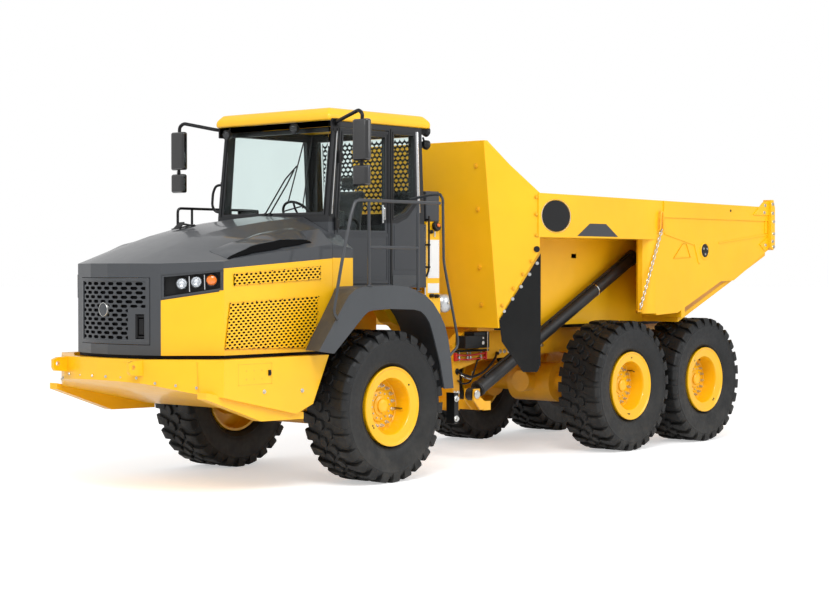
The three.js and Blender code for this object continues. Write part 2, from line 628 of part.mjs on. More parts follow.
function bedUnderframe() {
  const runner = box(480, 600, 2300, 6560, 1455, bedFloor - gap);
  const lug = sidePlate([[6100, 1460], [6420, 1500], [6500, 1480], [6580, 1560], [6650, 1990], [6200, 1810],
    [5500, 1520], [5500, 1460]], 470, 560);
  const pin = bar([340, tipPivot.y, tipPivot.z], [480, tipPivot.y, tipPivot.z], 44, 24);
  const half = join(runner, lug, pin);
  return join(half, mirror(half), box(-500, 500, 2700, 2820, 1455, bedFloor - gap),
    box(-500, 500, 5300, 5400, 1455, bedFloor - gap));
}
node('bed_underframe', bedUnderframe(), yellow());

// ---- tipping cylinders ----
function along(from, to, distance) {
  const a = new THREE.Vector3(from.x, from.y, from.z);
  const b = new THREE.Vector3(to.x, to.y, to.z);
  return a.add(b.sub(a).normalize().multiplyScalar(distance)).toArray();
}
const spread = (from, to) => Math.hypot(to.x - from.x, to.y - from.y, to.z - from.z);
function cylinderPair(name, from, to, size, eyeAxis) {
  const length = spread(from, to);
  const at = (d) => along(from, to, d);
  const eye = (pin, radius) => {
    const half = size.eyeWidth / 2;
    const ends = eyeAxis === 'x' ? [[pin.x - half, pin.y, pin.z], [pin.x + half, pin.y, pin.z]]
      : [[pin.x, pin.y, pin.z - half], [pin.x, pin.y, pin.z + half]];
    return bar(ends[0], ends[1], radius, 20);
  };
  const tube = cut(join(eye(from, size.eye), bar(at(20), at(size.eye + 60), size.eyeWidth / 2 - 2, 16),
    bar(at(size.eye + 30), at(size.barrelEnd), size.barrel, 20)), bar(at(size.eye + 100),
      at(size.barrelEnd + 10), size.rod + 6, 16));
  const rod = join(bar(at(size.rodStart), at(length - 10), size.rod, 16), eye(to, size.eye * 0.9));
  pair(`${name}_barrel`, tube, grey);
  pair(`${name}_rod`, rod, steel);
}
cylinderPair('tip', tipPinBarrel, tipPinRod,
  { eye: 70, eyeWidth: 76, barrel: 82, rod: 50, barrelEnd: spread(tipPinBarrel, tipPinRod) - 210,
    rodStart: 1200 }, 'x');
cylinderPair('steer', steerPinBarrel, steerPinRod,
  { eye: 50, eyeWidth: 60, barrel: 52, rod: 30, barrelEnd: 950, rodStart: 600 }, 'z');

export default truck;
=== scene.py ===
import json
import math

import bmesh
import bpy
from mathutils import Matrix, Vector, noise
from mathutils.bvhtree import BVHTree


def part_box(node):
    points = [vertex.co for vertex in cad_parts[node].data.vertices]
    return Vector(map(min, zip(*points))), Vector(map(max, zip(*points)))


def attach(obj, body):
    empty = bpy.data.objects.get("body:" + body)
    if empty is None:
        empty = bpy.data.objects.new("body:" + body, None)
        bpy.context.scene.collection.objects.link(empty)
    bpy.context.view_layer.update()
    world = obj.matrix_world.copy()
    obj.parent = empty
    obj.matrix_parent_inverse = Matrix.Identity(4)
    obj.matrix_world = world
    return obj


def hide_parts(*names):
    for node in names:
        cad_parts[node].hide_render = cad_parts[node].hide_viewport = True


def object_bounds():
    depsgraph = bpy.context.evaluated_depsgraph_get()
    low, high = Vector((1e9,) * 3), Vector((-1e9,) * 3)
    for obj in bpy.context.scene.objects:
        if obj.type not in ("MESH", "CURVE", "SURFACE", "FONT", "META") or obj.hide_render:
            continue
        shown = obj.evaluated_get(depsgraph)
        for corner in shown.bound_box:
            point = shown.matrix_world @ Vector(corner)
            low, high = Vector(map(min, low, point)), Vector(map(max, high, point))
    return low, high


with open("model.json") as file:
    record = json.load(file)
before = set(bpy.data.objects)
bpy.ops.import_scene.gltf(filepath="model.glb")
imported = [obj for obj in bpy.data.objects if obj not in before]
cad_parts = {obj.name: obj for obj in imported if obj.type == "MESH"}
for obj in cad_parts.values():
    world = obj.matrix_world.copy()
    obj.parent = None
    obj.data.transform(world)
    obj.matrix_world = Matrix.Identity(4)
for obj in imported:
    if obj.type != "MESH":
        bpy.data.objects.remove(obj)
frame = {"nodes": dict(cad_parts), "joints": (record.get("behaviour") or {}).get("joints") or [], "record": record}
CAD_BOX = [list(corner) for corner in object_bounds()]
BODY_OF = {n: b for b, ns in frame["record"]["behaviour"]["bodies"].items() for n in ns}
SLOT_OF = {s["node"]: s["material_slot"] for s in frame["record"]["subparts"]}
JOINTS = {j["name"]: j for j in frame["joints"]}
AXLE_Y = JOINTS["spin_front_left"]["pos_m"][1]      # the front axle: lengths are measured from it
UP = Vector((0, 0, 1))
LEFT = Vector((1, 0, 0))
REAR = Vector((0, 1, 0))
SIDES = (("left", 1), ("right", -1))


def at(x, y, z):
    """A place given from the front axle, as the frame sees it."""
    return Vector((x, AXLE_Y + y, z))


# ---- camera ----
def add_camera():
    data = bpy.data.cameras.new("camera")
    data.sensor_width = 36
    data.lens = 78.39
    data.clip_end = 200
    camera = bpy.data.objects.new("camera", data)
    camera.location = (13.518, AXLE_Y - 13.539, 2.175)
    heading, pitch = math.radians(41.2), math.radians(-1.03)
    camera.rotation_euler = (math.pi / 2 + pitch, 0, heading)
    bpy.context.scene.collection.objects.link(camera)
    bpy.context.scene.camera = camera


add_camera()


# ---- finishes ----
def node_of(tree, kind, **settings):
    node = tree.nodes.new(kind)
    for name, value in settings.items():
        setattr(node, name, value)
    return node


def noise_on(tree, place, scale, detail=3, rough=0.5):
    node = node_of(tree, "ShaderNodeTexNoise")
    node.inputs["Scale"].default_value = scale
    node.inputs["Detail"].default_value = detail
    node.inputs["Roughness"].default_value = rough
    tree.links.new(place, node.inputs["Vector"])
    return node.outputs["Fac"]


def ranged(tree, value, low, high, out_low, out_high):
    node = node_of(tree, "ShaderNodeMapRange")
    for i, number in enumerate((low, high, out_low, out_high)):
        node.inputs[i + 1].default_value = number
    tree.links.new(value, node.inputs[0])
    return node.outputs[0]


def blended(tree, factor, first, second, mode="MIX"):
    node = node_of(tree, "ShaderNodeMix", data_type="RGBA", blend_type=mode)
    for socket, value in ((node.inputs[0], factor), (node.inputs[6], first), (node.inputs[7], second)):
        if isinstance(value, bpy.types.NodeSocket):
            tree.links.new(value, socket)
        elif isinstance(value, tuple):
            socket.default_value = (*value, 1)
        else:
            socket.default_value = value
    return node.outputs[2]


def times(tree, first, second):
    node = node_of(tree, "ShaderNodeMath", operation="MULTIPLY")
    for socket, value in zip(node.inputs, (first, second)):
        if isinstance(value, bpy.types.NodeSocket):
            tree.links.new(value, socket)
        else:
            socket.default_value = value
    return node.outputs[0]


DUST = (0.33, 0.30, 0.25)


def finish(name, color, rough, metal=0.0, coat=0.0, vary=0.05, cloud=1.3, spread=0.06,
           bump=0.0, bump_scale=300, dust=0.0, dust_top=1.5, speck=0.0, above=None, **sockets):
    """A surface finish: its colour drifts a little, its gloss is uneven, its skin has a fine
    bump, and dust thins out with height above the ground."""
    material = bpy.data.materials.new(name)
    material.use_nodes = True
    tree = material.node_tree
    shader = tree.nodes["Principled BSDF"]
    place = node_of(tree, "ShaderNodeTexCoord").outputs["Object"]
    drift = noise_on(tree, place, cloud, 4, 0.6)
    darker = tuple(c * (1 - vary * 2) for c in color)
    lighter = tuple(min(1, c * (1 + vary)) for c in color)
    skin = blended(tree, ranged(tree, drift, 0.3, 0.7, 0, 1), darker, lighter)
    if above:
        split = node_of(tree, "ShaderNodeSeparateXYZ")
        tree.links.new(place, split.inputs[0])
        skin = blended(tree, ranged(tree, split.outputs[2], above[0] - 0.001, above[0] + 0.001, 0, 1), skin,
                       above[1])
    if speck:
        fine = noise_on(tree, place, 90, 2, 0.6)
        skin = blended(tree, ranged(tree, fine, 0.55, 0.75, 0, speck), skin, tuple(c * 0.55 for c in color))
    if dust:
        split = node_of(tree, "ShaderNodeSeparateXYZ")
        tree.links.new(place, split.inputs[0])
        height = ranged(tree, split.outputs[2], 0.1, dust_top, 1, 0)
        patch = ranged(tree, noise_on(tree, place, 5, 5, 0.65), 0.42, 0.72, 0.15, 1)
        skin = blended(tree, times(tree, times(tree, height, patch), dust), skin, DUST)
    tree.links.new(skin, shader.inputs["Base Color"])
    uneven = noise_on(tree, place, cloud * 6, 3, 0.6)
    tree.links.new(ranged(tree, uneven, 0.3, 0.7, rough - spread, rough + spread), shader.inputs["Roughness"])
    shader.inputs["Metallic"].default_value = metal
    shader.inputs["Coat Weight"].default_value = coat
    shader.inputs["Coat Roughness"].default_value = 0.08
    for socket, value in sockets.items():
        shader.inputs[socket.replace("_", " ").title().replace("Ior", "IOR")].default_value = value
    if bump:
        relief = node_of(tree, "ShaderNodeBump")
        relief.inputs["Strength"].default_value = bump
        relief.inputs["Distance"].default_value = 0.002
        tree.links.new(noise_on(tree, place, bump_scale, 2, 0.5), relief.inputs["Height"])
        tree.links.new(relief.outputs[0], shader.inputs["Normal"])
    return material


YELLOW = (0.94, 0.50, 0.0015)
enamel = finish("yellow enamel", YELLOW, 0.36, coat=0.25, vary=0.03, spread=0.04, bump=0.03)
bed_enamel = finish("yellow enamel on plate", YELLOW, 0.44, coat=0.1, vary=0.04, cloud=0.9, spread=0.06,
                    bump=0.06, bump_scale=60)
casting = finish("yellow enamel on castings", (0.88, 0.43, 0.006), 0.45, coat=0.12, vary=0.08, cloud=3,
                 bump=0.35, bump_scale=120, dust=0.12, dust_top=1.4)
grey_enamel = finish("dark grey enamel", (0.050, 0.054, 0.060), 0.34, coat=0.6, vary=0.02, spread=0.02,
                     coat_roughness=0.06, specular_ior_level=0.25)
cab_grey = finish("dark grey cab enamel", (0.042, 0.046, 0.052), 0.34, coat=0.35, vary=0.03, spread=0.03,
                  coat_roughness=0.07, specular_ior_level=0.25)
cab_two_tone = finish("cab enamel, darker round the windows", (0.042, 0.046, 0.052), 0.34, coat=0.35,
                      vary=0.03, spread=0.03, above=(2.640, (0.012, 0.013, 0.015)), coat_roughness=0.07,
                      specular_ior_level=0.25)
gloss_black = finish("gloss black moulding", (0.005, 0.005, 0.006), 0.2, coat=1.0, vary=0.05, spread=0.03,
                     coat_roughness=0.03)
light_grey = finish("grey moulded plastic", (0.060, 0.065, 0.071), 0.5, vary=0.05, bump=0.15, bump_scale=500,
                    specular_ior_level=0.3)
black_enamel = finish("black satin enamel", (0.008, 0.008, 0.009), 0.35, vary=0.1, bump=0.05,
                      specular_ior_level=0.25)
black_mould = finish("black moulded plastic", (0.008, 0.0085, 0.009), 0.34, vary=0.1, bump=0.12,
                     bump_scale=600, specular_ior_level=0.3)
# Near-black, barely reflecting finish: black mesh, and painted shade for the dark inside seen through the vents,
# the grille and the scoop's mouth.
mesh_and_shade_black = finish("black mesh and painted shade", (0.003, 0.003, 0.0035), 0.6, specular_ior_level=0.06, vary=0.3,
                    cloud=120, bump=0.6, bump_scale=260)
flap_rubber = finish("black flap rubber", (0.007, 0.0075, 0.008), 0.55, specular_ior_level=0.2, vary=0.15,
                     cloud=2, bump=0.3, bump_scale=90, dust=0.05)
hose_rubber = finish("black hose rubber", (0.007, 0.007, 0.008), 0.45, specular_ior_level=0.25, vary=0.1,
                     bump=0.2, bump_scale=400)
tyre_skin = finish("tyre rubber", (0.012, 0.013, 0.014), 0.48, specular_ior_level=0.3, vary=0.16, cloud=4,
                   spread=0.09, bump=0.35, bump_scale=160, dust=0.10, dust_top=1.1, speck=0.3)
tread_skin = finish("tread rubber", (0.009, 0.0095, 0.010), 0.5, specular_ior_level=0.3, vary=0.2, cloud=5,
                    spread=0.12, bump=0.5, bump_scale=120, dust=0.08, dust_top=1.0, speck=0.4)
bright = finish("bright chrome", (0.78, 0.79, 0.80), 0.12, metal=1, vary=0.02, spread=0.03)
bolt_steel = finish("bright bolt steel", (0.62, 0.62, 0.60), 0.3, metal=1, vary=0.08, cloud=20, bump=0.1)
can_steel = finish("silver painted steel", (0.55, 0.56, 0.57), 0.32, metal=0.7, vary=0.06)
iron = finish("black iron", (0.012, 0.012, 0.013), 0.34, specular_ior_level=0.4, vary=0.15, cloud=6, bump=0.3,
              dust=0.1)
red_enamel = finish("red enamel", (0.62, 0.028, 0.018), 0.35, coat=0.2, vary=0.05, bump=0.05)
orange_enamel = finish("orange cap plastic", (0.80, 0.16, 0.01), 0.4, vary=0.04, bump=0.1)
white_plate = finish("white label plate", (0.80, 0.80, 0.79), 0.35, vary=0.02, bump=0.04)
lamp_clear = finish("clear lamp lens", (0.90, 0.92, 0.94), 0.05, vary=0.03, cloud=30, spread=0.02,
                    transmission_weight=1.0, ior=1.3)
lamp_orange = finish("orange lamp lens", (0.95, 0.20, 0.01), 0.14, vary=0.06, cloud=30, coat=0.8)
reflector = finish("lamp bowl", (0.80, 0.81, 0.82), 0.16, metal=0.9, vary=0.03)
mirror_glass = finish("mirror glass", (0.72, 0.74, 0.76), 0.04, metal=1, vary=0.01, spread=0.01)
cab_glass = finish("tinted window glass", (0.84, 0.91, 0.90), 0.0, vary=0.01, spread=0.0,
                   transmission_weight=1.0, ior=1.12)
seat_weave = finish("seat cloth", (0.040, 0.043, 0.048), 0.9, vary=0.15, cloud=8, bump=0.6, bump_scale=700,
                    sheen_weight=0.4)
lining = finish("cab lining", (0.055, 0.058, 0.062), 0.7, vary=0.1, bump=0.4, bump_scale=300)


# ---- shaping ----
def add(bm, part, turn=None):
    """Moves a finished part into a larger mesh."""
    if turn is not None:
        bmesh.ops.transform(part, matrix=turn, verts=part.verts)
    mesh = bpy.data.meshes.new("part")
    part.to_mesh(mesh)
    part.free()
    bm.from_mesh(mesh)
    bpy.data.meshes.remove(mesh)


def stamp(bm, part, turns):
    """Adds a copy of a part for each matrix."""
    mesh = bpy.data.meshes.new("part")
    part.to_mesh(mesh)
    part.free()
    for turn in turns:
        start = len(bm.verts)
        bm.from_mesh(mesh)
        bm.verts.ensure_lookup_table()
        bmesh.ops.transform(bm, matrix=turn, verts=bm.verts[start:])
    bpy.data.meshes.remove(mesh)


def soften(bm, width, segments=2, angle=30):
    """Rounds every edge that is sharper than an angle."""
    bm.normal_update()
    limit = math.radians(angle)
    edges = [e for e in bm.edges if len(e.link_faces) == 2 and e.calc_face_angle(0) > limit]
    if edges:
        bmesh.ops.bevel(bm, geom=edges, offset=width, offset_type="OFFSET", segments=segments,
                        profile=0.5, affect="EDGES", clamp_overlap=True, material=-1)


def put(bm, name, body, material, slot, *nodes, sharp=38, recalc=False):
    """Makes a mesh a piece of the truck, riding on a body and standing for CAD nodes."""
    if recalc:
        bmesh.ops.remove_doubles(bm, verts=bm.verts, dist=0.00005)
        bmesh.ops.recalc_face_normals(bm, faces=bm.faces)
    mesh = bpy.data.meshes.new(name)
    bm.to_mesh(mesh)
    bm.free()
    mesh.materials.append(material)
    mesh.shade_smooth()
    mesh.set_sharp_from_angle(angle=math.radians(sharp))
    piece = bpy.data.objects.new(name, mesh)
    bpy.context.scene.collection.objects.link(piece)
    even = piece.modifiers.new("even shading", "WEIGHTED_NORMAL")
    even.keep_sharp = True
    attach(piece, body)
    if nodes:
        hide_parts(*nodes)
    return piece


def node_mesh(name):
    """A merged copy of a CAD node, with its flat faces whole again."""
    bm = bmesh.new()
    bm.from_mesh(frame["nodes"][name].data)
    bmesh.ops.remove_doubles(bm, verts=bm.verts, dist=0.0001)
    bmesh.ops.dissolve_limit(bm, angle_limit=math.radians(1), verts=bm.verts, edges=bm.edges)
    return bm


def dress(name, material, width=0.005, segments=2, angle=30, sharp=38):
    """A CAD node with its edges rounded and its finish on."""
    bm = node_mesh(name)
    soften(bm, width, segments, angle)
    return put(bm, name + "_skin", BODY_OF[name], material, SLOT_OF[name], name, sharp=sharp)


def mirrored(bm):
    """The same part on the machine's other side."""
    bmesh.ops.scale(bm, vec=(-1, 1, 1), verts=bm.verts)
    bmesh.ops.reverse_faces(bm, faces=bm.faces)
    return bm


def facing(direction, place):
    """Turns +Z to a direction and moves to a place."""
    return Matrix.Translation(place) @ Vector(direction).to_track_quat("Z", "X").to_matrix().to_4x4()


def block(bm, low, high, edge=0.004, turn=None):
    part = bmesh.new()
    bmesh.ops.create_cube(part, size=1)
    low, high = Vector(low), Vector(high)
    bmesh.ops.scale(part, vec=high - low, verts=part.verts)
    bmesh.ops.translate(part, vec=(low + high) / 2, verts=part.verts)
    if edge:
        soften(part, edge, 2)
    add(bm, part, turn)


def plate(bm, points, push, edge=0.003, segments=2):
    """A flat outline pushed into a plate, its edges rounded."""
    part = bmesh.new()
    face = part.faces.new([part.verts.new(p) for p in points])
    grown = bmesh.ops.extrude_face_region(part, geom=[face])
    bmesh.ops.translate(part, vec=push, verts=[v for v in grown["geom"] if isinstance(v, bmesh.types.BMVert)])
    bmesh.ops.recalc_face_normals(part, faces=part.faces)
    if edge:
        soften(part, edge, segments)
    add(bm, part)


def turned(bm, profile, place, direction, steps=32):
    """A round part: points of (radius, along) spun about a line."""
    part = bmesh.new()
    verts = [part.verts.new((r, 0, a)) for r, a in profile]
    edges = [part.edges.new(pair) for pair in zip(verts, verts[1:])]
    bmesh.ops.spin(part, geom=verts + edges, cent=(0, 0, 0), axis=(0, 0, 1), dvec=(0, 0, 0),
                   angle=math.tau, steps=steps, use_merge=True, use_duplicate=False)
    bmesh.ops.remove_doubles(part, verts=part.verts, dist=0.00002)
    bmesh.ops.recalc_face_normals(part, faces=part.faces)
    add(bm, part, facing(direction, place))


def rounded(points, bend):
    """A line of points with each corner drawn as a short curve."""
    points = [Vector(p) for p in points]
    line = [points[0]]
    for before, corner, after in zip(points, points[1:], points[2:]):
        reach = min(bend, (corner - before).length * 0.45, (after - corner).length * 0.45)
        a = corner + (before - corner).normalized() * reach
        b = corner + (after - corner).normalized() * reach
        for i in range(6):
            t = i / 5
            line.append(a * (1 - t) ** 2 + corner * 2 * t * (1 - t) + b * t * t)
    return line + [points[-1]]


def pipe(bm, points, radius, sides=12, bend=0.05, ends=True):
    """A round bar swept along a line of points."""
    line = rounded(points, bend)
    part = bmesh.new()
    course = [(b - a).normalized() for a, b in zip(line, line[1:])]
    course = [course[0]] + [(a + b).normalized() for a, b in zip(course, course[1:])] + [course[-1]]
    verts = bmesh.ops.create_circle(part, segments=sides, radius=radius)["verts"]
    bmesh.ops.transform(part, matrix=facing(course[0], line[0]), verts=verts)
    ring = list(part.edges)
    first = list(ring)
    for i in range(1, len(line)):
        grown = bmesh.ops.extrude_edge_only(part, edges=ring)["geom"]
        ring = [e for e in grown if isinstance(e, bmesh.types.BMEdge)
                and all(v in grown for v in e.verts)]
        turn = course[i - 1].rotation_difference(course[i]).to_matrix().to_4x4()
        bmesh.ops.transform(part,
                            matrix=Matrix.Translation(line[i]) @ turn @ Matrix.Translation(-line[i - 1]),
                            verts=[v for v in grown if isinstance(v, bmesh.types.BMVert)])
    if ends:
        bmesh.ops.contextual_create(part, geom=first)
        bmesh.ops.contextual_create(part, geom=ring)
    bmesh.ops.recalc_face_normals(part, faces=part.faces)
    add(bm, part)


def bolts(bm, places, direction, size=0.012, height=0.012, washer=True):
    """Hexagon heads, each on a washer."""
    part = bmesh.new()
    bmesh.ops.create_cone(part, cap_ends=True, segments=6, radius1=size, radius2=size * 0.9,
                          depth=height, matrix=Matrix.Translation((0, 0, height / 2 + 0.002)))
    if washer:
        bmesh.ops.create_cone(part, cap_ends=True, segments=12, radius1=size * 1.45, radius2=size * 1.35,
                              depth=0.004, matrix=Matrix.Translation((0, 0, 0.002)))
    stamp(bm, part, [facing(direction, p) for p in places])


# ---- wheels ----
TYRE_RADIUS = 0.773
TREAD_FLOOR = 0.737
LUGS = 26


def across(points, x_scale=1):
    return [(r, a * x_scale) for r, a in points]


def tyre_carcass(bm):
    """Outer sidewall, shoulder and half the tread, then the same on the inner side."""
    half = [(0.384, 0.150), (0.392, 0.190), (0.404, 0.213), (0.418, 0.222), (0.432, 0.236), (0.442, 0.243),
            (0.450, 0.241), (0.470, 0.250), (0.500, 0.258), (0.560, 0.268), (0.620, 0.2735), (0.648, 0.2750),
            (0.654, 0.2790), (0.664, 0.2792), (0.670, 0.2740), (0.690, 0.2700), (0.708, 0.2620),
            (0.726, 0.2450), (TREAD_FLOOR, 0.2150), (0.741, 0.110), (0.742, 0.0)]
    whole = half + [(r, -a) for r, a in reversed(half[:-1])] + [half[0]]
    turned(bm, whole, (0, 0, 0), LEFT, 104)


def wrap(part, reach=0.0):
    """Bends a part drawn flat (x across, y along the tread, z height) round the tyre."""
    for v in part.verts:
        x, y, r = v.co
        turn = y / TYRE_RADIUS
        v.co = (x, r * math.sin(turn), r * math.cos(turn))


def shoulder_lug():
    part = bmesh.new()
    section = [(0.098, 0.725), (0.108, 0.770), (0.180, 0.7725), (0.248, 0.7715), (0.266, 0.763),
               (0.2785, 0.735), (0.2798, 0.700), (0.2770, 0.672), (0.262, 0.668), (0.240, 0.700)]
    face = part.faces.new([part.verts.new((x, -0.5, r)) for x, r in section])
    grown = bmesh.ops.extrude_face_region(part, geom=[face])
    bmesh.ops.translate(part, vec=(0, 1, 0),
                        verts=[v for v in grown["geom"] if isinstance(v, bmesh.types.BMVert)])
    bmesh.ops.recalc_face_normals(part, faces=part.faces)
    for v in part.verts:
        outer = min(1, max(0, (v.co.x - 0.10) / 0.17))
        width = 0.072 + 0.046 * outer - (0.020 if v.co.z < 0.69 else 0)
        v.co.y = v.co.y * width + 0.034 * (1 - outer) ** 1.5
    soften(part, 0.005, 1, 50)
    wrap(part)
    return part


def centre_lug():
    part = bmesh.new()
    bmesh.ops.create_cone(part, cap_ends=True, segments=6, radius1=0.062, radius2=0.054, depth=0.045,
                          matrix=Matrix.Translation((0, 0, 0.7495)))
    bmesh.ops.scale(part, vec=(0.86, 1.12, 1), verts=part.verts)
    bmesh.ops.rotate(part, cent=(0, 0, 0), matrix=Matrix.Rotation(0.28, 3, "Z"), verts=part.verts)
    soften(part, 0.004, 1, 50)
    bmesh.ops.translate(part, vec=(0.053, 0, 0), verts=part.verts)
    wrap(part)
    return part


def tread_turns(shift):
    return [Matrix.Rotation(math.tau * (i + shift) / LUGS, 4, "X") for i in range(LUGS)]


def tyre_tread(bm):
    half_turn = Matrix.Rotation(math.pi, 4, "Z")
    stamp(bm, shoulder_lug(), tread_turns(0))
    stamp(bm, shoulder_lug(), [half_turn @ t for t in tread_turns(0.25)])
    stamp(bm, centre_lug(), tread_turns(0.62))
    stamp(bm, centre_lug(), [half_turn @ t for t in tread_turns(0.87)])


def rim_steel(bm):
    """Flange, deep recess, disc and hub on the outer side, open barrel on the inner side."""
    outer = [(0.0, 0.140), (0.046, 0.140), (0.062, 0.136), (0.072, 0.126), (0.074, 0.108), (0.080, 0.104),
             (0.092, 0.102), (0.104, 0.098), (0.108, 0.088), (0.150, 0.082), (0.160, 0.076), (0.166, 0.066),
             (0.172, 0.062), (0.232, 0.060), (0.240, 0.056), (0.262, 0.052), (0.270, 0.060), (0.274, 0.110),
             (0.279, 0.200), (0.284, 0.226), (0.292, 0.234), (0.330, 0.238), (0.336, 0.2415), (0.372, 0.243),
             (0.380, 0.246), (0.388, 0.254), (0.396, 0.2575), (0.402, 0.254), (0.4035, 0.246),
             (0.4035, 0.2385)]
    inner = [(0.379, 0.214), (0.379, -0.206), (0.372, -0.208), (0.352, -0.206), (0.346, -0.190),
             (0.344, -0.060), (0.330, -0.044), (0.204, -0.060), (0.200, -0.080), (0.198, -0.262),
             (0.186, -0.280), (0.0, -0.280)]
    turned(bm, outer + inner, (0, 0, 0), LEFT, 72)


def on_circle(radius, along, count, shift=0.0):
    return [Vector((along, radius * math.cos(t), radius * math.sin(t)))
            for t in (math.tau * (i + shift) / count for i in range(count))]


def wheel_nuts(bm):
    part = bmesh.new()
    bmesh.ops.create_cone(part, cap_ends=True, segments=16, radius1=0.0205, radius2=0.0205, depth=0.006,
                          matrix=Matrix.Translation((0, 0, 0.003)))
    bmesh.ops.create_cone(part, cap_ends=True, segments=6, radius1=0.0165, radius2=0.0155, depth=0.022,
                          matrix=Matrix.Translation((0, 0, 0.017)))
    bmesh.ops.create_cone(part, cap_ends=True, segments=10, radius1=0.009, radius2=0.0075, depth=0.020,
                          matrix=Matrix.Translation((0, 0, 0.034)))
    stamp(bm, part, [facing(LEFT, p) for p in on_circle(0.207, 0.059, 16, 0.35)])
    small = bmesh.new()
    bmesh.ops.create_cone(small, cap_ends=True, segments=6, radius1=0.0085, radius2=0.008, depth=0.010,
                          matrix=Matrix.Translation((0, 0, 0.005)))
    stamp(bm, small, [facing(LEFT, p) for p in on_circle(0.132, 0.084, 12)])


def valve_and_marks(bm):
    """The valve in the recess, and flush black patches on the flange for the balance and lock pockets: painted
    shade of their insides.
    """
    pipe(bm, [(0.05, 0.245, -0.05), (0.12, 0.255, -0.052), (0.165, 0.235, -0.048)], 0.006, 8, 0.02)
    for turn in (2.08, 2.16, -0.95):
        matrix = Matrix.Rotation(turn, 4, "X")
        block(bm, (0.236, -0.010, 0.326), (0.2425, 0.010, 0.344), 0.002, matrix)


def add_wheels():
    half_turn = Matrix.Rotation(math.pi, 4, "Z")
    for row in ("front", "middle", "rear"):
        for side, sign in SIDES:
            body = f"wheel_{row}_{side}"
            low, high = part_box(f"tyre_{row}_{side}")
            hub = JOINTS[f"spin_{row}_{side}"]["pos_m"]
            turn = Matrix.Translation(hub) @ (half_turn if sign < 0 else Matrix.Identity(4))
            turn = turn @ Matrix.Rotation({"front": 0.05, "middle": 0.9, "rear": 1.7}[row], 4, "X")
            for name, make, material, slot, nodes in (
                ("tyre", tyre_carcass, tyre_skin, "tyre_rubber", [f"tyre_{row}_{side}"]),
                ("tread", tyre_tread, tread_skin, "tyre_rubber", []),
                ("rim", rim_steel, enamel, "yellow_paint", [f"rim_{row}_{side}"]),
                ("wheel_nuts", wheel_nuts, bolt_steel, "bare_steel", []),
                ("valve", valve_and_marks, black_mould, "black_plastic", []),
            ):
                bm = bmesh.new()
                make(bm)
                bmesh.ops.transform(bm, matrix=turn, verts=bm.verts)
                put(bm, f"{name}_{row}_{side}_skin" if nodes else f"{name}_{row}_{side}", body, material,
                    slot, *nodes)


add_wheels()


# ---- carried-over pieces ----
FINISH_OF = {
    "bumper": (enamel, 0.008), "hood_side_left": (enamel, 0.006), "hood_side_right": (enamel, 0.006),
    "hood": (grey_enamel, 0.006), "cab_shell": (cab_two_tone, 0.008), "cab_roof": (enamel, 0.02),
    "cab_door": (cab_two_tone, 0.007), "hydraulic_tank": (enamel, 0.014), "air_tank": (can_steel, 0.012),
    "front_frame": (casting, 0.006), "rear_frame": (casting, 0.007), "front_axle": (casting, 0.012),
    "middle_axle": (casting, 0.012), "rear_axle": (casting, 0.012), "pivot_yoke": (casting, 0.008),
    "walking_beam_left": (casting, 0.012), "walking_beam_right": (casting, 0.012),
    "bed_floor": (bed_enamel, 0.006), "bed_front_wall": (bed_enamel, 0.006),
    "bed_side_left": (bed_enamel, 0.008), "bed_side_right": (bed_enamel, 0.008),
    "bed_underframe": (casting, 0.006), "mud_flap_left": (flap_rubber, 0.003),
    "mud_flap_right": (flap_rubber, 0.003), "tip_barrel_left": (iron, 0.006),
    "tip_barrel_right": (iron, 0.006), "tip_rod_left": (bright, 0.003), "tip_rod_right": (bright, 0.003),
    "steer_barrel_left": (iron, 0.005), "steer_barrel_right": (iron, 0.005),
    "steer_rod_left": (bright, 0.003), "steer_rod_right": (bright, 0.003), "engine_block": (iron, 0.012),
    "dashboard": (lining, 0.012), "seat_base": (black_mould, 0.008), "fender_left": (light_grey, 0.005),
    "fender_right": (light_grey, 0.005), "guard_rail_left": (black_enamel, 0.003),
    "mirror_left": (black_mould, 0.012), "mirror_right": (black_mould, 0.012), "cowl": (enamel, 0.006),
    "grille_door": (grey_enamel, 0.006), "door_glass": (cab_glass, 0), "windscreen": (cab_glass, 0),
    "rear_window": (cab_glass, 0), "side_window_left": (cab_glass, 0), "side_window_right": (cab_glass, 0),
    "seat_pads": (seat_weave, 0.02),
}


def dress_nodes(done=()):
    for name, (material, width) in FINISH_OF.items():
        if name in done:
            continue
        if width:
            dress(name, material, width, sharp=9 if name == "hood" else 38)
        else:
            node = frame["nodes"][name]
            node.data.materials.clear()
            node.data.materials.append(material)


dress_nodes(done=("grille_door", "mirror_left", "mirror_right", "dashboard", "seat_pads", "cowl",
                  "hydraulic_tank", "guard_rail_left", "fender_left", "fender_right"))


def swept_fender(name):
    """The fender with its front end swept back towards the hood."""
    bm = node_mesh(name)
    for v in bm.verts:
        reach = abs(v.co.x)
        ahead = -0.50 - (v.co.y - AXLE_Y)
        if reach < 1.39 and ahead > 0:
            v.co.y += 0.17 * (1.40 - max(reach, 1.068)) / 0.332 * min(1, ahead / 0.25)
    soften(bm, 0.005, 2, 30)
    put(bm, name + "_skin", "root", light_grey, "grey_paint", name)


for side, sign in SIDES:
    swept_fender(f"fender_{side}")


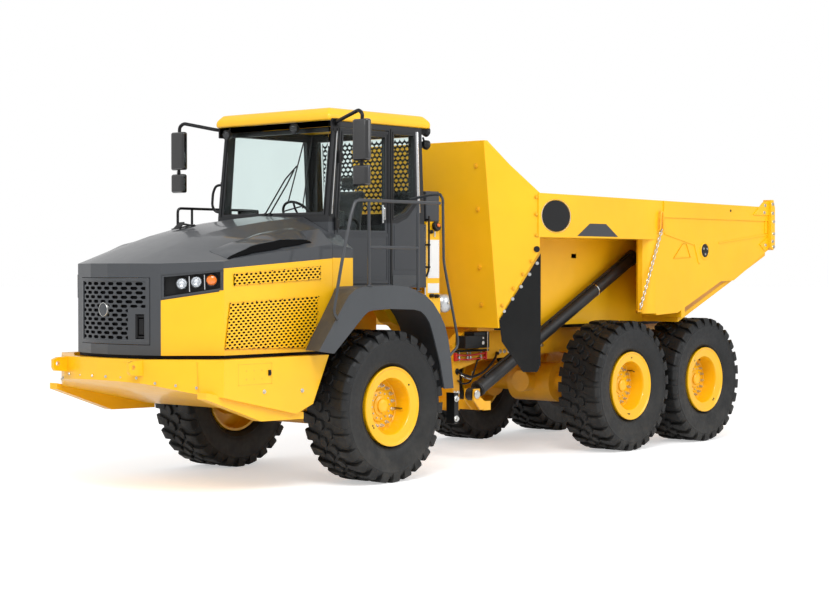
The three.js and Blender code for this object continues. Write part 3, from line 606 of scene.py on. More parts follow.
# ---- sheets with holes ----
def perforated(width, height, pitch, hole, thick):
    """A flat sheet of staggered holes, each a ring of eight points, lying in x and y."""
    half = (pitch[0] / 2, pitch[1] / 2)
    cell = bmesh.new()
    bmesh.ops.create_circle(cell, segments=8, radius=1)
    grown = bmesh.ops.extrude_edge_only(cell, edges=cell.edges[:])["geom"]
    border = {v for v in grown if isinstance(v, bmesh.types.BMVert)}
    edge = [(half[0], 0), half, (0, half[1]), (-half[0], half[1]), (-half[0], 0),
            (-half[0], -half[1]), (0, -half[1]), (half[0], -half[1])]
    for v in cell.verts:
        turn = round(math.atan2(v.co.y, v.co.x) / (math.tau / 8)) % 8
        v.co = (*(edge if v in border else hole)[turn], 0)
    rows, columns = math.ceil(height / pitch[1]) + 1, math.ceil(width / pitch[0]) + 2
    bm = bmesh.new()
    stamp(bm, cell, [Matrix.Translation(((c - (columns - 1) / 2 + (r % 2) / 2 - 0.25) * pitch[0],
                                         (r - (rows - 1) / 2) * pitch[1], 0))
                     for r in range(rows) for c in range(columns)])
    bmesh.ops.remove_doubles(bm, verts=bm.verts, dist=0.0002)
    return bm


def trimmed(bm, outline):
    """Cuts a flat sheet down to a convex outline of (x, y) points set anticlockwise."""
    for (x0, y0), (x1, y1) in zip(outline, outline[1:] + outline[:1]):
        outward = Vector((y1 - y0, x0 - x1, 0)).normalized()
        bmesh.ops.bisect_plane(bm, geom=bm.verts[:] + bm.edges[:] + bm.faces[:], dist=1e-5,
                               plane_co=(x0, y0, 0), plane_no=outward, clear_outer=True)
    bmesh.ops.recalc_face_normals(bm, faces=bm.faces)
    return bm


def thickened(bm, thick):
    bmesh.ops.solidify(bm, geom=bm.faces[:], thickness=thick)
    bmesh.ops.recalc_face_normals(bm, faces=bm.faces)
    return bm


def border(bm, outline, width, push, edge=0.002, lift=0):
    """A flat frame that follows an outline, pushed to its thickness."""
    part = bmesh.new()
    face = part.faces.new([part.verts.new(p) for p in outline])
    bmesh.ops.inset_individual(part, faces=[face], thickness=width, use_even_offset=True)
    bmesh.ops.delete(part, geom=[face], context="FACES_ONLY")
    grown = bmesh.ops.extrude_face_region(part, geom=part.faces[:])
    bmesh.ops.translate(part, vec=push, verts=[v for v in grown["geom"] if isinstance(v, bmesh.types.BMVert)])
    bmesh.ops.recalc_face_normals(part, faces=part.faces)
    if edge:
        soften(part, edge, 1)
    add(bm, part)


def between(a, b, count):
    a, b = Vector(a), Vector(b)
    return [a.lerp(b, i / (count - 1)) for i in range(count)]


def for_sides(name, body, material, slot, make, *nodes, sharp=38):
    """A left piece and its mirror image; body and node names hold {} where the side goes."""
    for side, sign in SIDES:
        bm = bmesh.new()
        make(bm)
        if sign < 0:
            mirrored(bm)
        put(bm, f"{name}_{side}", body.format(side), material, slot,
            *[n.format(side) for n in nodes], sharp=sharp)


def single(name, body, material, slot, make, *nodes, sharp=38):
    bm = bmesh.new()
    make(bm)
    return put(bm, name, body, material, slot, *nodes, sharp=sharp)


# ---- grille door ----
DOOR_LOW, DOOR_TOP = 1.45, 2.075
CROWN = 1.48
SLOT_HOLE = [(0.045, 0), (0.031, 0.0155), (0, 0.0155), (-0.031, 0.0155), (-0.045, 0),
             (-0.031, -0.0155), (0, -0.0155), (0.031, -0.0155)]


def crown_y(x):
    return -2.532 + CROWN - math.sqrt(CROWN ** 2 - x ** 2)


def bent_to_crown(bm, back=0.0):
    """Flat x, y and depth become the door's curved face."""
    for v in bm.verts:
        x, z, depth = v.co
        v.co = at(x, crown_y(x) + back + depth, z)


def door_arc(x0, x1, back, z, count=9):
    return [at(x, crown_y(x) + back, z) for x in (x0 + (x1 - x0) * i / (count - 1) for i in range(count))]


def crown_bar(bm, x0, x1, z0, z1, front, back, edge=0.004, count=9):
    ring = door_arc(x0, x1, front, z0, count) + door_arc(x1, x0, back, z0, count)
    plate(bm, ring, UP * (z1 - z0), edge)


def grille_sheet(bm):
    sheet = perforated(0.95, 0.57, (0.118, 0.0425), SLOT_HOLE, 0.008)
    bmesh.ops.translate(sheet, vec=(0, (DOOR_LOW + DOOR_TOP) / 2 + 0.004, 0), verts=sheet.verts)
    right = [(0.262, 1.483), (0.262, 1.782), (0.262, 2.048)]
    first = sheet.copy()
    trimmed(first, [(-0.462, 1.483), (0.262, 1.483), (0.262, 2.048), (-0.462, 2.048)])
    trimmed(sheet, [(0.262, 1.795), (0.462, 1.795), (0.462, 2.048), (0.262, 2.048)])
    add(first, sheet)
    bmesh.ops.remove_doubles(first, verts=first.verts, dist=0.0002)
    thickened(first, 0.009)
    bent_to_crown(first, 0.010)
    add(bm, first)


def grille_frame(bm):
    crown_bar(bm, -0.4975, 0.4975, DOOR_LOW, DOOR_LOW + 0.036, 0.0, 0.045)
    crown_bar(bm, -0.4975, 0.4975, DOOR_TOP - 0.030, DOOR_TOP, 0.0, 0.045)
    for side in (-1, 1):
        low, high = sorted((side * 0.460, side * 0.4975))
        crown_bar(bm, low, high, DOOR_LOW + 0.034, DOOR_TOP - 0.028, 0.0, 0.045, count=3)
    crown_bar(bm, 0.262, 0.347, 1.484, 1.796, 0.004, 0.020, 0.003, 4)
    crown_bar(bm, 0.443, 0.462, 1.484, 1.796, 0.004, 0.020, 0.003, 2)
    crown_bar(bm, 0.345, 0.445, 1.735, 1.796, 0.004, 0.020, 0.003, 4)
    crown_bar(bm, 0.345, 0.445, 1.484, 1.502, 0.004, 0.020, 0.003, 4)
    turned(bm, [(0, 0.010), (0.052, 0.010), (0.060, 0.006), (0.060, -0.012), (0, -0.012)],
           at(-0.06, crown_y(0.06) + 0.002, 1.775), (-0.04, -1, 0), 40)


# The core sits behind the grille's holes in the near-black finish: a dark core, with painted shade of the space
# behind the grille.
def grille_core(bm):
    crown_bar(bm, -0.470, 0.470, DOOR_LOW + 0.02, DOOR_TOP - 0.015, 0.030, 0.044, 0.001)


def grille_handle(bm):
    crown_bar(bm, 0.352, 0.372, 1.512, 1.724, 0.002, 0.024, 0.003, 2)
    crown_bar(bm, 0.372, 0.438, 1.512, 1.530, 0.010, 0.024, 0.002, 2)
    crown_bar(bm, 0.372, 0.438, 1.706, 1.724, 0.010, 0.024, 0.002, 2)
    crown_bar(bm, 0.378, 0.430, 1.545, 1.690, 0.014, 0.026, 0.004, 3)


def grille_badge_ring(bm):
    turned(bm, [(0.061, 0.012), (0.066, 0.013), (0.069, 0.009), (0.069, -0.010), (0.061, -0.010),
                (0.061, 0.012)],
           at(-0.06, crown_y(0.06) + 0.002, 1.775), (-0.04, -1, 0), 40)


grille_body = BODY_OF["grille_door"]
single("grille_sheet", grille_body, grey_enamel, "grey_paint", grille_sheet)
single("grille_frame", grille_body, grey_enamel, "grey_paint", grille_frame, "grille_door")
single("grille_core", grille_body, mesh_and_shade_black, "black_plastic", grille_core)
single("grille_handle", grille_body, black_enamel, "black_paint", grille_handle)
single("grille_badge_ring", grille_body, bolt_steel, "bare_steel", grille_badge_ring)

# ---- hood corner lamps ----
CORNER = at(0.611, -2.404, 0)
ALONG = Vector((0.7155, 0.6986, 0))
OUTWARD = Vector((0.6986, -0.7155, 0))


def on_corner(u, depth, z):
    """A place on the face between the hood's front and side: u along it, depth into it."""
    return CORNER + ALONG * u - OUTWARD * depth + UP * z


def well_low(u):
    return 1.900 + (u - 0.032) / 0.528 * 0.080


def well_high(u):
    return 2.086 + (u - 0.032) / 0.528 * 0.050


LAMPS = ((0.196, 2.024), (0.332, 2.040), (0.475, 2.057))


def lamp_bezel(bm):
    outline = [on_corner(u, 0.0, z) for u, z in ((0.012, 1.878), (0.560, 1.960), (0.592, 2.150),
                                                 (0.012, 2.104))]
    border(bm, outline, 0.024, -OUTWARD * -0.006, 0.002)


def lamp_housing(bm):
    rows = ((0.036, well_low(0.036), well_high(0.036)), (0.552, well_low(0.552), well_high(0.552)))
    plate(bm, [on_corner(u, 0.085, z) for u, z in ((rows[0][0], rows[0][1] + 0.004),
                                                   (rows[1][0], rows[1][1] + 0.004),
                                                   (rows[1][0], rows[1][2] - 0.004),
                                                   (rows[0][0], rows[0][2] - 0.004))],
          -OUTWARD * 0.012, 0.002)
    for u, z in LAMPS:
        turned(bm, [(0.050, -0.010), (0.058, -0.010), (0.060, -0.004), (0.060, 0.046), (0.056, 0.052),
                    (0.051, 0.050), (0.050, 0.040), (0.050, -0.010)], on_corner(u, 0.080, z), OUTWARD, 32)


def lamp_bowls(bm):
    for u, z in LAMPS:
        turned(bm, [(0, 0.006), (0.012, 0.006), (0.030, 0.014), (0.044, 0.030), (0.0495, 0.040),
                    (0.0495, 0.002), (0, 0.0)], on_corner(u, 0.078, z), OUTWARD, 32)
    for u in (0.262, 0.404):
        low, high = well_low(u) + 0.012, well_high(u) - 0.014
        plate(bm, [on_corner(u + 0.004, 0.074, low), on_corner(u + 0.013, 0.074, low),
                   on_corner(u + 0.009, 0.074, high), on_corner(u, 0.074, high)], OUTWARD * 0.050, 0.002)


def lens(bm, u, z):
    turned(bm, [(0, 0.054), (0.018, 0.053), (0.034, 0.049), (0.046, 0.042), (0.0495, 0.036), (0, 0.036)],
           on_corner(u, 0.078, z), OUTWARD, 32)


def clear_lenses(bm):
    for u, z in LAMPS[:2]:
        lens(bm, u, z)


def orange_lens(bm):
    lens(bm, *LAMPS[2])


for_sides("lamp_bezel", "hood_body", grey_enamel, "grey_paint", lamp_bezel)
for_sides("lamp_housing", "hood_body", black_mould, "black_plastic", lamp_housing)
for_sides("lamp_bowls", "hood_body", reflector, "bare_steel", lamp_bowls)
for_sides("head_lenses", "hood_body", lamp_clear, "window_glass", clear_lenses)
for_sides("turn_lens", "hood_body", lamp_orange, "window_glass", orange_lens)

# ---- hood side vents ----
VENT_HOLE = [(0.0220, 0), (0.0125, 0.0078), (0, 0.0115), (-0.0125, 0.0078), (-0.0220, 0),
             (-0.0125, -0.0078), (0, -0.0115), (0.0125, -0.0078)]
BIG_VENT = [(-1.985, 1.410), (-0.950, 1.393), (-0.781, 1.588), (-0.754, 1.890), (-1.920, 1.839)]
TOP_VENT = [(-1.870, 2.007), (-0.730, 2.063), (-0.730, 2.188), (-1.870, 2.112)]


def hood_side_x(y):
    return 1.0352 + 0.01735 * (y + 1.99)


def on_side(y, z, proud=0.0):
    return at(hood_side_x(y) + 0.0025 + proud, y, z)


def vent_sheets(bm):
    for outline in (BIG_VENT, TOP_VENT):
        middle = Vector((sum(y for y, z in outline) / len(outline), sum(z for y, z in outline) / len(outline),
                         0))
        sheet = perforated(1.34, 0.62 if outline is BIG_VENT else 0.24, (0.061, 0.027), VENT_HOLE, 0.004)
        slope = math.atan2(outline[2][1] - outline[1][1],
                           outline[2][0] - outline[1][0]) if outline is BIG_VENT else 0
        lean = math.atan((0.05 if outline is BIG_VENT else 0.055))
        bmesh.ops.rotate(sheet, cent=(0, 0, 0), matrix=Matrix.Rotation(lean, 3, "Z"), verts=sheet.verts)
        bmesh.ops.translate(sheet, vec=middle, verts=sheet.verts)
        trimmed(sheet, outline)
        thickened(sheet, 0.004)
        for v in sheet.verts:
            y, z, depth = v.co
            v.co = on_side(y, z, 0.004 + depth)
        add(bm, sheet)
        border(bm, [on_side(y, z, 0.001) for y, z in outline], -0.020, LEFT * 0.009, 0.002)


# A near-black sheet close behind the vents' holes: painted shade of the hood's inside.
def vent_backs(bm):
    for outline in (BIG_VENT, TOP_VENT):
        plate(bm, [on_side(y, z, -0.001) for y, z in outline], LEFT * 0.003, 0)


def vent_rivets(bm):
    places = []
    for outline in (BIG_VENT, TOP_VENT):
        for (y0, z0), (y1, z1) in zip(outline, outline[1:] + outline[:1]):
            count = max(2, round(math.hypot(y1 - y0, z1 - z0) / 0.16))
            places += [on_side(p.x, p.y, 0.009) for p in between((y0, z0, 0), (y1, z1, 0), count + 1)[:-1]]
    bolts(bm, places, LEFT, 0.0065, 0.004, False)


for_sides("vent_sheets", "hood_body", enamel, "yellow_paint", vent_sheets)
for_sides("vent_backs", "hood_body", mesh_and_shade_black, "black_plastic", vent_backs)
for_sides("vent_rivets", "hood_body", black_enamel, "black_paint", vent_rivets)


# ---- hood scoops, bracket and seams ----
HOOD_TREE = BVHTree.FromBMesh(node_mesh("hood"))


def hood_top(x, y):
    """Height of the hood's skin above a place."""
    hit = HOOD_TREE.ray_cast(Vector(at(x, y, 3.5)), Vector((0, 0, -1)))[0]
    return hit.z if hit else 2.3


def scoop_rise(y):
    """How far the scoop stands above the skin along its length."""
    along = (y + 1.90) / 1.10
    return 0.082 * math.sin(math.pi * min(1, max(0, along))) ** 0.7 if 0 < along < 1 else 0


def scoop_grid(bm, x_lip, x_inner, rows, thick, sink, share):
    part = bmesh.new()
    bmesh.ops.create_grid(part, x_segments=22, y_segments=rows, size=0.5)
    for v in part.verts:
        y = -1.905 + 1.11 * (v.co.x + 0.5)
        inward = v.co.y + 0.5
        x = x_lip + (x_inner - x_lip) * inward
        v.co = at(x, y, hood_top(min(x, 1.0), y) + scoop_rise(y) * share(inward) - sink)
    bmesh.ops.recalc_face_normals(part, faces=part.faces)
    bmesh.ops.solidify(part, geom=part.faces[:], thickness=thick)
    bmesh.ops.recalc_face_normals(part, faces=part.faces)
    add(bm, part)


def scoop(bm):
    """A raised blister on the hood's slope with its mouth towards the side."""
    scoop_grid(bm, 0.990, 0.740, 6, 0.008, -0.002, lambda inward: math.cos(inward * math.pi / 2) ** 0.8)


# A near-black sheet across the scoop's mouth: black mesh, and painted shade of the opening behind it.
def scoop_mouth(bm):
    scoop_grid(bm, 1.012, 0.984, 3, 0.004, -0.004, lambda inward: 0.02 + 0.90 * inward)


for_sides("scoop", "hood_body", grey_enamel, "grey_paint", scoop, sharp=55)
for_sides("scoop_mouth", "hood_body", mesh_and_shade_black, "black_plastic", scoop_mouth)


def hood_bracket(bm):
    """The lifting eye on the right half of the hood."""
    plate(bm, [at(-0.36, -1.42, 2.556), at(-0.25, -1.44, 2.562), at(-0.20, -1.24, 2.602),
               at(-0.30, -1.22, 2.598)],
          UP * 0.012, 0.003)
    plate(bm, [at(-0.345, -1.42, 2.562), at(-0.335, -1.34, 2.634), at(-0.300, -1.31, 2.638),
               at(-0.275, -1.34, 2.612), at(-0.255, -1.42, 2.566)], Vector((0.004, 0.016, 0)), 0.003)
    pipe(bm, [at(-0.33, -1.33, 2.622), at(-0.24, -1.26, 2.602), at(-0.20, -1.20, 2.588)], 0.011, 10)


def hood_seal(bm):
    """The rubber strip that the hood comes down on."""
    plan = [(0.0, -2.524), (0.290, -2.492), (0.602, -2.392), (1.022, -1.984), (1.046, -0.560)]
    ring = [at(x, y, 1.3185) for x, y in plan] + [at(-x, y, 1.3185) for x, y in reversed(plan[1:])]
    border(bm, ring, 0.06, UP * 0.0295, 0.003)


single("hood_seal", "root", hose_rubber, "black_rubber", hood_seal)
single("hood_bracket", "hood_body", black_enamel, "black_paint", hood_bracket)


# ---- bumper details ----
SIDE_STEP = 1.2005


def bumper_panel_lines(bm):
    """Shut lines and the access flap's edges, as thin dark strips let into the face."""
    corner = [at(1.0045, -2.3035, 1.300), at(1.0045, -2.3035, 1.020)]
    across_face = Vector((0.815, 0.579, 0))
    plate(bm, [corner[0] - across_face * 0.003, corner[0] + across_face * 0.003,
               corner[1] + across_face * 0.018, corner[1] + across_face * 0.012],
          Vector((0.579, -0.815, 0)) * 0.0015, 0)
    for low, high in (((-1.965, 1.070), (-1.957, 1.272)), ((-1.533, 1.070), (-1.525, 1.272)),
                      ((-1.965, 1.264), (-1.525, 1.272)), ((-1.965, 1.070), (-1.525, 1.078))):
        block(bm, at(SIDE_STEP, low[0], low[1]), at(SIDE_STEP + 0.0015, high[0], high[1]), 0)
    for z in (1.125, 1.205):
        for y in (-1.86, -1.76, -1.66):
            turned(bm, [(0, 0.0015), (0.011, 0.0015), (0.011, 0), (0, 0)], at(SIDE_STEP, y, z), LEFT, 12)


def bumper_catch(bm):
    block(bm, at(SIDE_STEP, -1.578, 1.150), at(SIDE_STEP + 0.012, -1.545, 1.205), 0.004)
    block(bm, at(SIDE_STEP + 0.012, -1.572, 1.165), at(SIDE_STEP + 0.022, -1.551, 1.190), 0.004)


def bumper_bolts(bm):
    for y, z in ((-1.63, 1.00), (-1.12, 0.985)):
        bolts(bm, [at(SIDE_STEP, y, z)], LEFT, 0.015, 0.014)


def bumper_chamfer_bolts(bm):
    """Bolts along the front's lower edge."""
    for p in between(at(0.10, -2.641, 1.146), at(0.50, -2.601, 1.146),
                     3) + between(at(0.68, -2.531, 1.10), at(1.0, -2.305, 1.06), 3):
        bolts(bm, [p], (0.25, -1, 0.0), 0.010, 0.008)


for_sides("bumper_lines", "root", casting, "yellow_paint", bumper_panel_lines)
for_sides("bumper_catch", "root", black_mould, "black_plastic", bumper_catch)
for_sides("bumper_bolts", "root", bolt_steel, "bare_steel", bumper_bolts)
for_sides("bumper_chamfer_bolts", "root", bolt_steel, "bare_steel", bumper_chamfer_bolts)


# ---- cab windows and frames ----
CAB_SIDE = 0.82
DOOR_WINDOW = [(-0.200, 2.560), (0.500, 2.560), (0.500, 3.537), (-0.130, 3.537), (-0.200, 2.710)]
QUARTER_WINDOW = [(0.640, 2.700), (0.820, 2.760), (0.980, 2.900), (0.960, 3.577), (0.640, 3.577)]
RIGHT_WINDOW = [(-0.220, 2.750), (0.980, 2.750), (0.940, 3.577), (-0.150, 3.577)]


def screen_y(z):
    """Front face of the windscreen's pillars."""
    return -0.360 + (z - 2.700) * 0.1138


def back_y(z):
    return 1.160 - (z - 1.960) * 0.0469


def side_ring(outline, x, grow=0.0):
    cy = sum(y for y, z in outline) / len(outline)
    cz = sum(z for y, z in outline) / len(outline)
    return [at(x, y + math.copysign(grow, y - cy), z + math.copysign(grow, z - cz)) for y, z in outline]


def front_ring(half, low, high, grow, lift):
    return [at(x, screen_y(z) + lift, z) for x, z in (
        (-half - grow, low - grow), (half + grow, low - grow), (half + grow, high + grow),
        (-half - grow, high + grow))]


def windscreen_seal(bm):
    border(bm, front_ring(0.74, 2.74, 3.607, 0.028, -0.001), 0.044, -REAR * 0.008, 0.003)


def door_seals(bm):
    border(bm, side_ring(DOOR_WINDOW, CAB_SIDE - 0.001, 0.030), 0.040, LEFT * 0.007, 0.003)


def quarter_seal(bm):
    border(bm, side_ring(QUARTER_WINDOW, CAB_SIDE - 0.001, 0.024), 0.036, LEFT * 0.006, 0.003)


def right_window_seal(bm):
    border(bm, side_ring(RIGHT_WINDOW, -CAB_SIDE + 0.001, 0.024), 0.036, -LEFT * 0.006, 0.003)


def rear_window_seal(bm):
    ring = [at(x, back_y(z) + 0.001, z) for x, z in ((-0.70, 2.738), (0.70, 2.738), (0.70, 3.60),
                                                     (-0.70, 3.60))]
    border(bm, ring, 0.036, REAR * 0.006, 0.003)


single("windscreen_seal", "root", hose_rubber, "black_rubber", windscreen_seal)
single("door_seals", "door_body", black_mould, "black_plastic", door_seals)
single("quarter_seal", "root", black_mould, "black_plastic", quarter_seal)
single("right_window_seal", "root", black_mould, "black_plastic", right_window_seal)
single("rear_window_seal", "root", hose_rubber, "black_rubber", rear_window_seal)


def window_guard(bm):
    """Diamond mesh inside the rear window."""
    diamond = [(0.030, 0), (0.018, 0.0105), (0, 0.021), (-0.018, 0.0105), (-0.030, 0), (-0.018, -0.0105),
               (0, -0.021), (0.018, -0.0105)]
    sheet = perforated(1.34, 0.82, (0.068, 0.0480), diamond, 0.003)
    trimmed(sheet, [(-0.66, -0.39), (0.66, -0.39), (0.66, 0.39), (-0.66, 0.39)])
    thickened(sheet, 0.003)
    for v in sheet.verts:
        x, z, depth = v.co
        v.co = at(x, 1.112 + depth - z * 0.0469, 3.168 + z)
    add(bm, sheet)
    border(bm, [at(x, 1.112 - (z - 3.168) * 0.0469, z)
                for x, z in ((-0.672, 2.768), (0.672, 2.768), (0.672, 3.568), (-0.672, 3.568))],
           0.02, REAR * 0.010, 0.002)


single("window_guard", "root", black_enamel, "black_paint", window_guard)


# ---- door, pillars and steps ----
def door_handle(bm):
    block(bm, at(CAB_SIDE, 0.450, 2.640), at(CAB_SIDE + 0.008, 0.474, 2.830), 0.003)
    pipe(bm, [at(CAB_SIDE + 0.006, 0.462, 2.665), at(CAB_SIDE + 0.030, 0.462, 2.675),
              at(CAB_SIDE + 0.030, 0.462, 2.795), at(CAB_SIDE + 0.006, 0.462, 2.805)], 0.006, 10, 0.015)


def door_panels(bm):
    """Pressed panel below the door's window, with its raised border."""
    border(bm, side_ring([(-0.235, 2.045), (0.525, 2.045), (0.525, 2.500), (-0.235, 2.500)],
                         CAB_SIDE - 0.001), 0.020,
           LEFT * 0.005, 0.002)
    plate(bm, [at(CAB_SIDE - 0.001, y, z) for y, z in ((-0.205, 2.075), (0.495, 2.075), (0.495, 2.470),
                                                       (-0.205, 2.470))],
          LEFT * 0.0035, 0.002)


def door_hinges(bm):
    for z in (2.150, 2.620, 3.300):
        y = -0.262 + max(0, z - 2.7) * 0.0827
        block(bm, at(CAB_SIDE - 0.002, y - 0.012, z - 0.045), at(CAB_SIDE + 0.022, y + 0.055, z + 0.045),
              0.006)
        pipe(bm, [at(CAB_SIDE + 0.018, y - 0.006, z - 0.065), at(CAB_SIDE + 0.018, y - 0.006, z + 0.065)],
             0.013, 12)


def pillar_strips(bm):
    """Black A-pillar cover, and a black strip on the B-pillar."""
    plate(bm, [at(CAB_SIDE, y, z) for y, z in ((-0.352, 2.700), (-0.292, 2.700), (-0.208, 3.640),
                                               (-0.246, 3.640))],
          LEFT * 0.012, 0.005, 3)
    plate(bm, [at(CAB_SIDE, y, z) for y, z in ((0.580, 2.000), (0.606, 2.000), (0.606, 3.630),
                                               (0.580, 3.630))],
          LEFT * 0.008, 0.003)


def pillar_bright(bm):
    # Bright chrome edge on the A-pillar and chrome tube on the C-pillar: painted highlights along the pillars.
    pipe(bm, [at(CAB_SIDE + 0.012, -0.318, 2.72), at(CAB_SIDE + 0.012, -0.236, 3.60)], 0.006, 8)
    pipe(bm, [at(CAB_SIDE - 0.002, 1.030, 2.76), at(CAB_SIDE - 0.002, 0.998, 3.62)], 0.022, 12)


def cab_step(bm):
    """The light grey foot plate below the quarter window."""
    plate(bm, [at(CAB_SIDE - 0.002, y, z) for y, z in ((0.610, 2.095), (1.010, 2.095), (0.990, 2.000),
                                                       (0.870, 1.966),
                                                       (0.610, 1.966))], LEFT * 0.014, 0.005)


def body_panels(bm):
    plate(bm, [at(CAB_SIDE - 0.001, y, z) for y, z in ((0.640, 2.150), (1.060, 2.150), (1.030, 2.700),
                                                       (1.020, 2.860),
                                                       (0.850, 2.700), (0.640, 2.620))], LEFT * 0.006, 0.003)


single("door_handle", "door_body", bright, "bright_rod", door_handle)
single("door_panels", "door_body", cab_grey, "grey_paint", door_panels)
single("door_hinges", "root", black_enamel, "black_paint", door_hinges)
single("pillar_covers", "root", black_mould, "black_plastic", pillar_strips)
single("pillar_strips", "root", bright, "bright_rod", pillar_bright)
single("cab_step", "root", light_grey, "grey_paint", cab_step)
single("cab_panel", "root", cab_grey, "grey_paint", body_panels)


# ---- roof, lights, wipers ----
def roof_visor(bm):
    """Black lining that fills the roof's underside and stands round the pillars' tops."""
    border(bm, [at(x, y, 3.606) for x, y in ((-0.800, -0.335), (0.800, -0.335), (0.812, 1.185),
                                             (-0.812, 1.185))], 0.085,
           UP * 0.060, 0.006)
    plate(bm, [at(x, y, 3.560) for x, y in ((-0.735, -0.262), (0.735, -0.262), (0.735, -0.235),
                                            (-0.735, -0.235))],
          UP * 0.050, 0.004)


ROOF_LIGHTS = [(-0.650, -0.372, 3.585, -1), (0.357, -0.372, 3.600, -1), (0.765, 1.205, 3.640, 1),
               (0.765, 1.205, 3.500, 1)]


def roof_light_cases(bm):
    for x, y, z, way in ROOF_LIGHTS:
        turned(bm, [(0, -0.040), (0.030, -0.040), (0.045, -0.022), (0.052, 0.008), (0.054, 0.026),
                    (0.050, 0.030), (0.047, 0.022), (0, 0.020)], at(x, y, z), (0.08, way, -0.18), 28)
        pipe(bm, [at(x, y - way * 0.015, z + 0.030), at(x, y - way * 0.04, z + 0.075)], 0.011, 8)


def roof_light_lenses(bm):
    for x, y, z, way in ROOF_LIGHTS:
        turned(bm, [(0, 0.034), (0.020, 0.033), (0.038, 0.029), (0.046, 0.023), (0, 0.0205)], at(x, y, z),
               (0.08, way, -0.18), 28)


def wiper(bm, foot, elbow, tip, blade_low, blade_top):
    face = [Vector(p) for p in (foot, elbow, tip)]
    pipe(bm, face, 0.008, 8, 0.03)
    pipe(bm, [Vector(blade_low), Vector(blade_top)], 0.007, 6)
    turned(bm, [(0, 0.022), (0.016, 0.022), (0.022, 0.014), (0.024, 0), (0, 0)], face[0] + REAR * 0.012,
           (0, -1, 0.1), 20)


def screen_at(x, z, proud=0.022):
    return at(x, screen_y(z) + 0.008 - proud, z)


def wipers(bm):
    wiper(bm, screen_at(-0.09, 2.722), screen_at(0.19, 3.09, 0.036), screen_at(0.335, 3.22, 0.030),
          screen_at(0.245, 2.86, 0.020), screen_at(0.400, 3.47, 0.020))
    wiper(bm, screen_at(-0.02, 2.722), screen_at(0.22, 3.04, 0.034), screen_at(0.300, 3.18, 0.030),
          screen_at(0.455, 2.78, 0.018), screen_at(0.515, 3.52, 0.018))
    for u in (0.42, 0.44):
        pipe(bm, [screen_at(u - 0.25, 2.755, 0.020), screen_at(u, 2.80, 0.022)], 0.006, 6)


def grab_loop(bm):
    pipe(bm, [at(-0.828, -0.300, 2.765), at(-0.880, -0.345, 2.775), at(-0.905, -0.365, 2.84),
              at(-0.905, -0.352, 2.98), at(-0.880, -0.330, 3.055), at(-0.828, -0.285, 3.062)], 0.014, 12,
         0.05)
    for z in (2.765, 3.062):
        block(bm, at(-0.834, -0.325 + (z - 2.76) * 0.05, z - 0.03),
              at(-0.818, -0.275 + (z - 2.76) * 0.05, z + 0.03), 0.004)


def roof_ribs(bm):
    """Pressed flutes along the roof's front."""
    for x in (-0.48, -0.24, 0.0, 0.24, 0.48):
        block(bm, at(x - 0.055, -0.250, 3.797), at(x + 0.055, 1.080, 3.7995), 0.0008)


single("roof_visor", "root", black_mould, "black_plastic", roof_visor)
single("roof_light_cases", "root", black_mould, "black_plastic", roof_light_cases)
single("roof_light_lenses", "root", lamp_clear, "window_glass", roof_light_lenses)
single("wipers", "root", black_mould, "black_plastic", wipers)
single("grab_loop", "root", black_enamel, "black_paint", grab_loop)
single("roof_flutes", "root", enamel, "yellow_paint", roof_ribs)


# ---- mirrors ----
def mirror_arm(bm):
    pipe(bm, [at(0.835, -0.262, 3.648), at(0.900, -0.305, 3.655), at(1.300, -0.420, 3.738),
              at(1.355, -0.428, 3.700), at(1.355, -0.430, 3.640)], 0.019, 12, 0.06)
    block(bm, at(0.8215, -0.330, 3.560), at(0.842, -0.215, 3.690), 0.005)
    block(bm, at(0.842, -0.285, 3.612), at(0.880, -0.235, 3.688), 0.006)
    pipe(bm, [at(1.355, -0.440, 3.240), at(1.355, -0.440, 3.170)], 0.017, 12)
    for z in (3.205, 3.196, 3.216):
        turned(bm, [(0.017, -0.003), (0.024, -0.002), (0.024, 0.002), (0.017, 0.003), (0.017, -0.003)],
               at(1.355, -0.440, z), UP, 20)
    bolts(bm, [at(0.842, -0.245, 3.580), at(0.842, -0.300, 3.580)], LEFT, 0.009, 0.008)


def mirror_head(bm, low, high):
    """A housing with a crowned front."""
    part = bmesh.new()
    bmesh.ops.create_cube(part, size=1)
    low, high = Vector(low), Vector(high)
    bmesh.ops.scale(part, vec=high - low, verts=part.verts)
    upright = [e for e in part.edges if abs((e.verts[0].co - e.verts[1].co).normalized().z) > 0.9]
    bmesh.ops.bevel(part, geom=upright, offset=0.034, offset_type="OFFSET", segments=5, profile=0.5,
                    affect="EDGES", clamp_overlap=True, material=-1)
    soften(part, 0.022, 4, 60)
    bmesh.ops.translate(part, vec=(low + high) / 2, verts=part.verts)
    back = (low.y + high.y) / 2
    for v in part.verts:
        rise = (v.co.z - (low.z + high.z) / 2) / (high.z - low.z)
        if v.co.y < back:
            v.co.y += 0.060 * rise * rise
    add(bm, part)


def mirror_heads(bm):
    mirror_head(bm, at(1.249, -0.488, 3.232), at(1.461, -0.395, 3.646))
    mirror_head(bm, at(1.255, -0.488, 2.985), at(1.455, -0.395, 3.190))


def mirror_faces(bm):
    for z0, z1 in ((3.262, 3.616), (3.012, 3.162)):
        plate(bm, [at(x, -0.3955, z) for x, z in ((1.285, z0), (1.425, z0), (1.425, z1), (1.285, z1))],
              REAR * 0.003, 0)


for_sides("mirror_arm", "root", black_enamel, "black_paint", mirror_arm)
for_sides("mirror_heads", "root", gloss_black, "black_plastic", mirror_heads, "mirror_{}")
for_sides("mirror_faces", "root", mirror_glass, "window_glass", mirror_faces)


# ---- inside the cab ----
WHEEL_AXIS = Vector((0, 0.806, 0.592))


